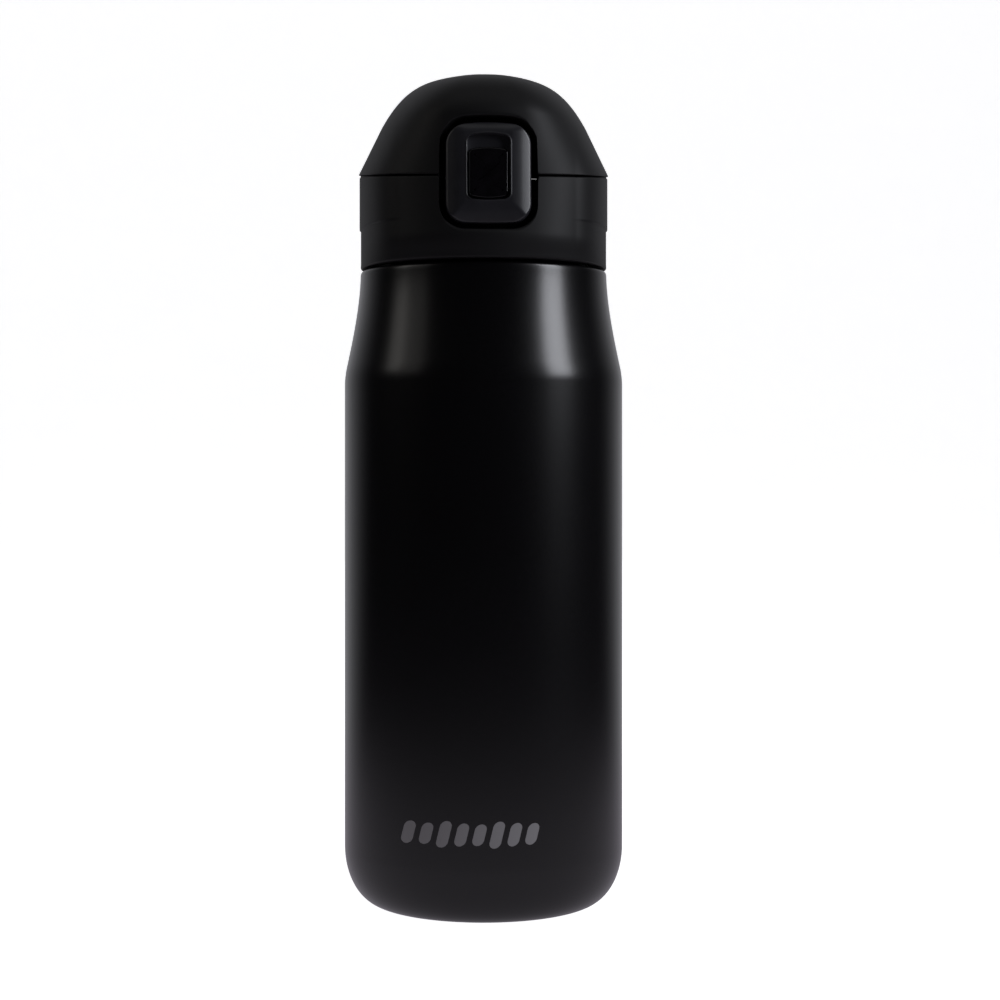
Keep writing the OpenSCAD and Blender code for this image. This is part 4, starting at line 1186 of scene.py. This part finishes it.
def softbox(name, at, aim_z, size, power, colour):
    """A rectangular light at one place that faces a height on the flask's axis."""
    light = bpy.data.lights.new(name, "AREA")
    light.shape, light.size, light.size_y = "RECTANGLE", size[0], size[1]
    light.energy, light.color = power, colour
    lamp = bpy.data.objects.new(name, light)
    bpy.context.scene.collection.objects.link(lamp)
    lamp.location = at
    lamp.rotation_euler = (Vector((0, 0, aim_z)) - Vector(at)).to_track_quat("-Z", "Y").to_euler()


def backdrop_paper(settings):
    """White paper that gives off some light of its own, with a faint fibre in its colour and height."""
    f = Finish("Backdrop paper")
    fibre = f.noise(3.0, 3.0, 0.6)
    colour = f.mix(fibre.ramp(0.3, 0.7), shade(settings.sweep_colour, 0.97), settings.sweep_colour)
    return f.close(Base_Color=colour, Roughness=0.85, Normal=f.bump(fibre, 0.05, 0.2), Specular_IOR_Level=0.2,
                   Emission_Color=(1.0, 1.0, 1.0, 1.0), Emission_Strength=settings.paper_glow)


def studio_room():
    """What the flask mirrors: a floor that glows near its foot, dark in front and paler behind."""
    f = Finish("Studio room")
    x, y, z = f.axes()
    reach = (x * x + y * y).alone("SQRT")
    dark = f.mix((y / reach).ramp(0.3, 1.0), (0.01, 0.01, 0.012), (0.42, 0.42, 0.44))
    near = (1 - reach.ramp(70.0, 480.0)) * (1 - z.ramp(30.0, 300.0))
    glow = f.mix(near, dark, (0.36, 0.34, 0.38))
    return f.close(Base_Color=glow, Roughness=1.0, Specular_IOR_Level=0.0, Emission_Color=glow,
                   Emission_Strength=1.0)


class FLASK_OT_stage(bpy.types.Operator):
    """Builds the pale sweep, the lights and the camera"""
    bl_idname = "flask.stage"
    bl_label = "Stage"

    def execute(self, context):
        settings, scene = context.scene.flask_stage, context.scene
        rise = np.linspace(0, math.pi / 2, 20)
        curve = SWEEP_CURVE * np.stack([np.sin(rise), 1 - np.cos(rise)], 1) + [SWEEP_R - SWEEP_CURVE, 0]
        floor = [[0.0, 0.0], [0.1, 0.0], [0.4, 0.0], [1.0, 0.0]]
        line = np.concatenate([floor, curve, [[SWEEP_R, 2.0], [SWEEP_R, SWEEP_TOP]]])
        grid = turned(line[::-1], 96)
        mesh = bpy.data.meshes.new("sweep")
        mesh.from_pydata(grid.reshape(-1, 3).tolist(), [], grid_quads(len(line), 96, False, True).tolist())
        mesh.polygons.foreach_set("use_smooth", np.ones(len(mesh.polygons), bool))
        sweep = bpy.data.objects.new("sweep", mesh)
        room = bpy.data.objects.new("studio_room", mesh.copy())
        mesh.materials.append(backdrop_paper(settings))
        room.data.materials.append(studio_room())
        for thing in (sweep, room):
            scene.collection.objects.link(thing)
        sweep.visible_glossy, sweep.visible_diffuse = False, False
        room.visible_camera, room.visible_shadow = False, False
        softbox("key_softbox", (0.80, -0.40, 0.5), 0.13, (0.34, 0.46), settings.key_power, COOL)
        softbox("left_softbox", (-0.9, -0.11, 0.6), 0.14, (0.24, 0.5), settings.side_power, WARM)
        softbox("left_fill", (-0.86, -0.33, 0.72), 0.17, (0.5, 0.8), FILL_POWER, WARM)
        softbox("top_softbox", (0.0, -0.1, 1.5), 0, (1.6, 1.2), TOP_POWER, WHITE)
        world = bpy.data.worlds.new("Studio air")
        scene.world = world
        world.use_nodes = True
        world.node_tree.nodes["Background"].inputs["Color"].default_value = (0.006, 0.006, 0.008, 1)
        camera = bpy.data.cameras.new("Camera")
        camera.lens, camera.sensor_width, camera.clip_start = CAMERA_LENS, CAMERA_SENSOR, 0.01
        camera.shift_x, camera.shift_y = CAMERA_SHIFT
        view = bpy.data.objects.new("Camera", camera)
        scene.collection.objects.link(view)
        across, back = math.sin(CAMERA_TURN), math.cos(CAMERA_TURN)
        view.location = (-CAMERA_REACH * across, -CAMERA_REACH * back, CAMERA_Z)
        view.rotation_euler = (math.radians(90), 0, -CAMERA_TURN)
        scene.camera = view
        scene.view_settings.view_transform = "Standard"
        return {"FINISHED"}


class FLASK_PT_pieces(bpy.types.Panel):
    """The flask's pieces and their settings"""
    bl_idname = "FLASK_PT_pieces"
    bl_label = "Vacuum flask"
    bl_space_type = "VIEW_3D"
    bl_region_type = "UI"
    bl_category = "Flask"

    def draw(self, context):
        for group in GROUPS:
            settings = getattr(context.scene, group)
            for name in settings.bl_rna.properties.keys():
                if name not in ("rna_type", "name"):
                    self.layout.prop(settings, name)
        for piece in PIECES:
            self.layout.operator(piece.bl_idname)


GROUPS = {"flask_bottle": BottleSettings, "flask_lid": LidSettings, "flask_button": ButtonSettings,
          "flask_stage": StageSettings}
PIECES = (FLASK_OT_bottle, FLASK_OT_collar, FLASK_OT_dome, FLASK_OT_button, FLASK_OT_slider, FLASK_OT_stopper,
          FLASK_OT_springs, FLASK_OT_fittings, FLASK_OT_stage)


def register():
    """Adds the settings, operators and panel to Blender."""
    for cls in (*GROUPS.values(), *PIECES, FLASK_PT_pieces):
        bpy.utils.register_class(cls)
    for name, group in GROUPS.items():
        setattr(bpy.types.Scene, name, bpy.props.PointerProperty(type=group))


def unregister():
    """Takes them away again."""
    for name in GROUPS:
        delattr(bpy.types.Scene, name)
    for cls in (FLASK_PT_pieces, *reversed(PIECES), *reversed(GROUPS.values())):
        bpy.utils.unregister_class(cls)


def main():
    """Builds every piece in order."""
    register()
    for piece in PIECES:
        group, name = piece.bl_idname.split(".")
        getattr(getattr(bpy.ops, group), name)()


if __name__ == "__main__":
    main()
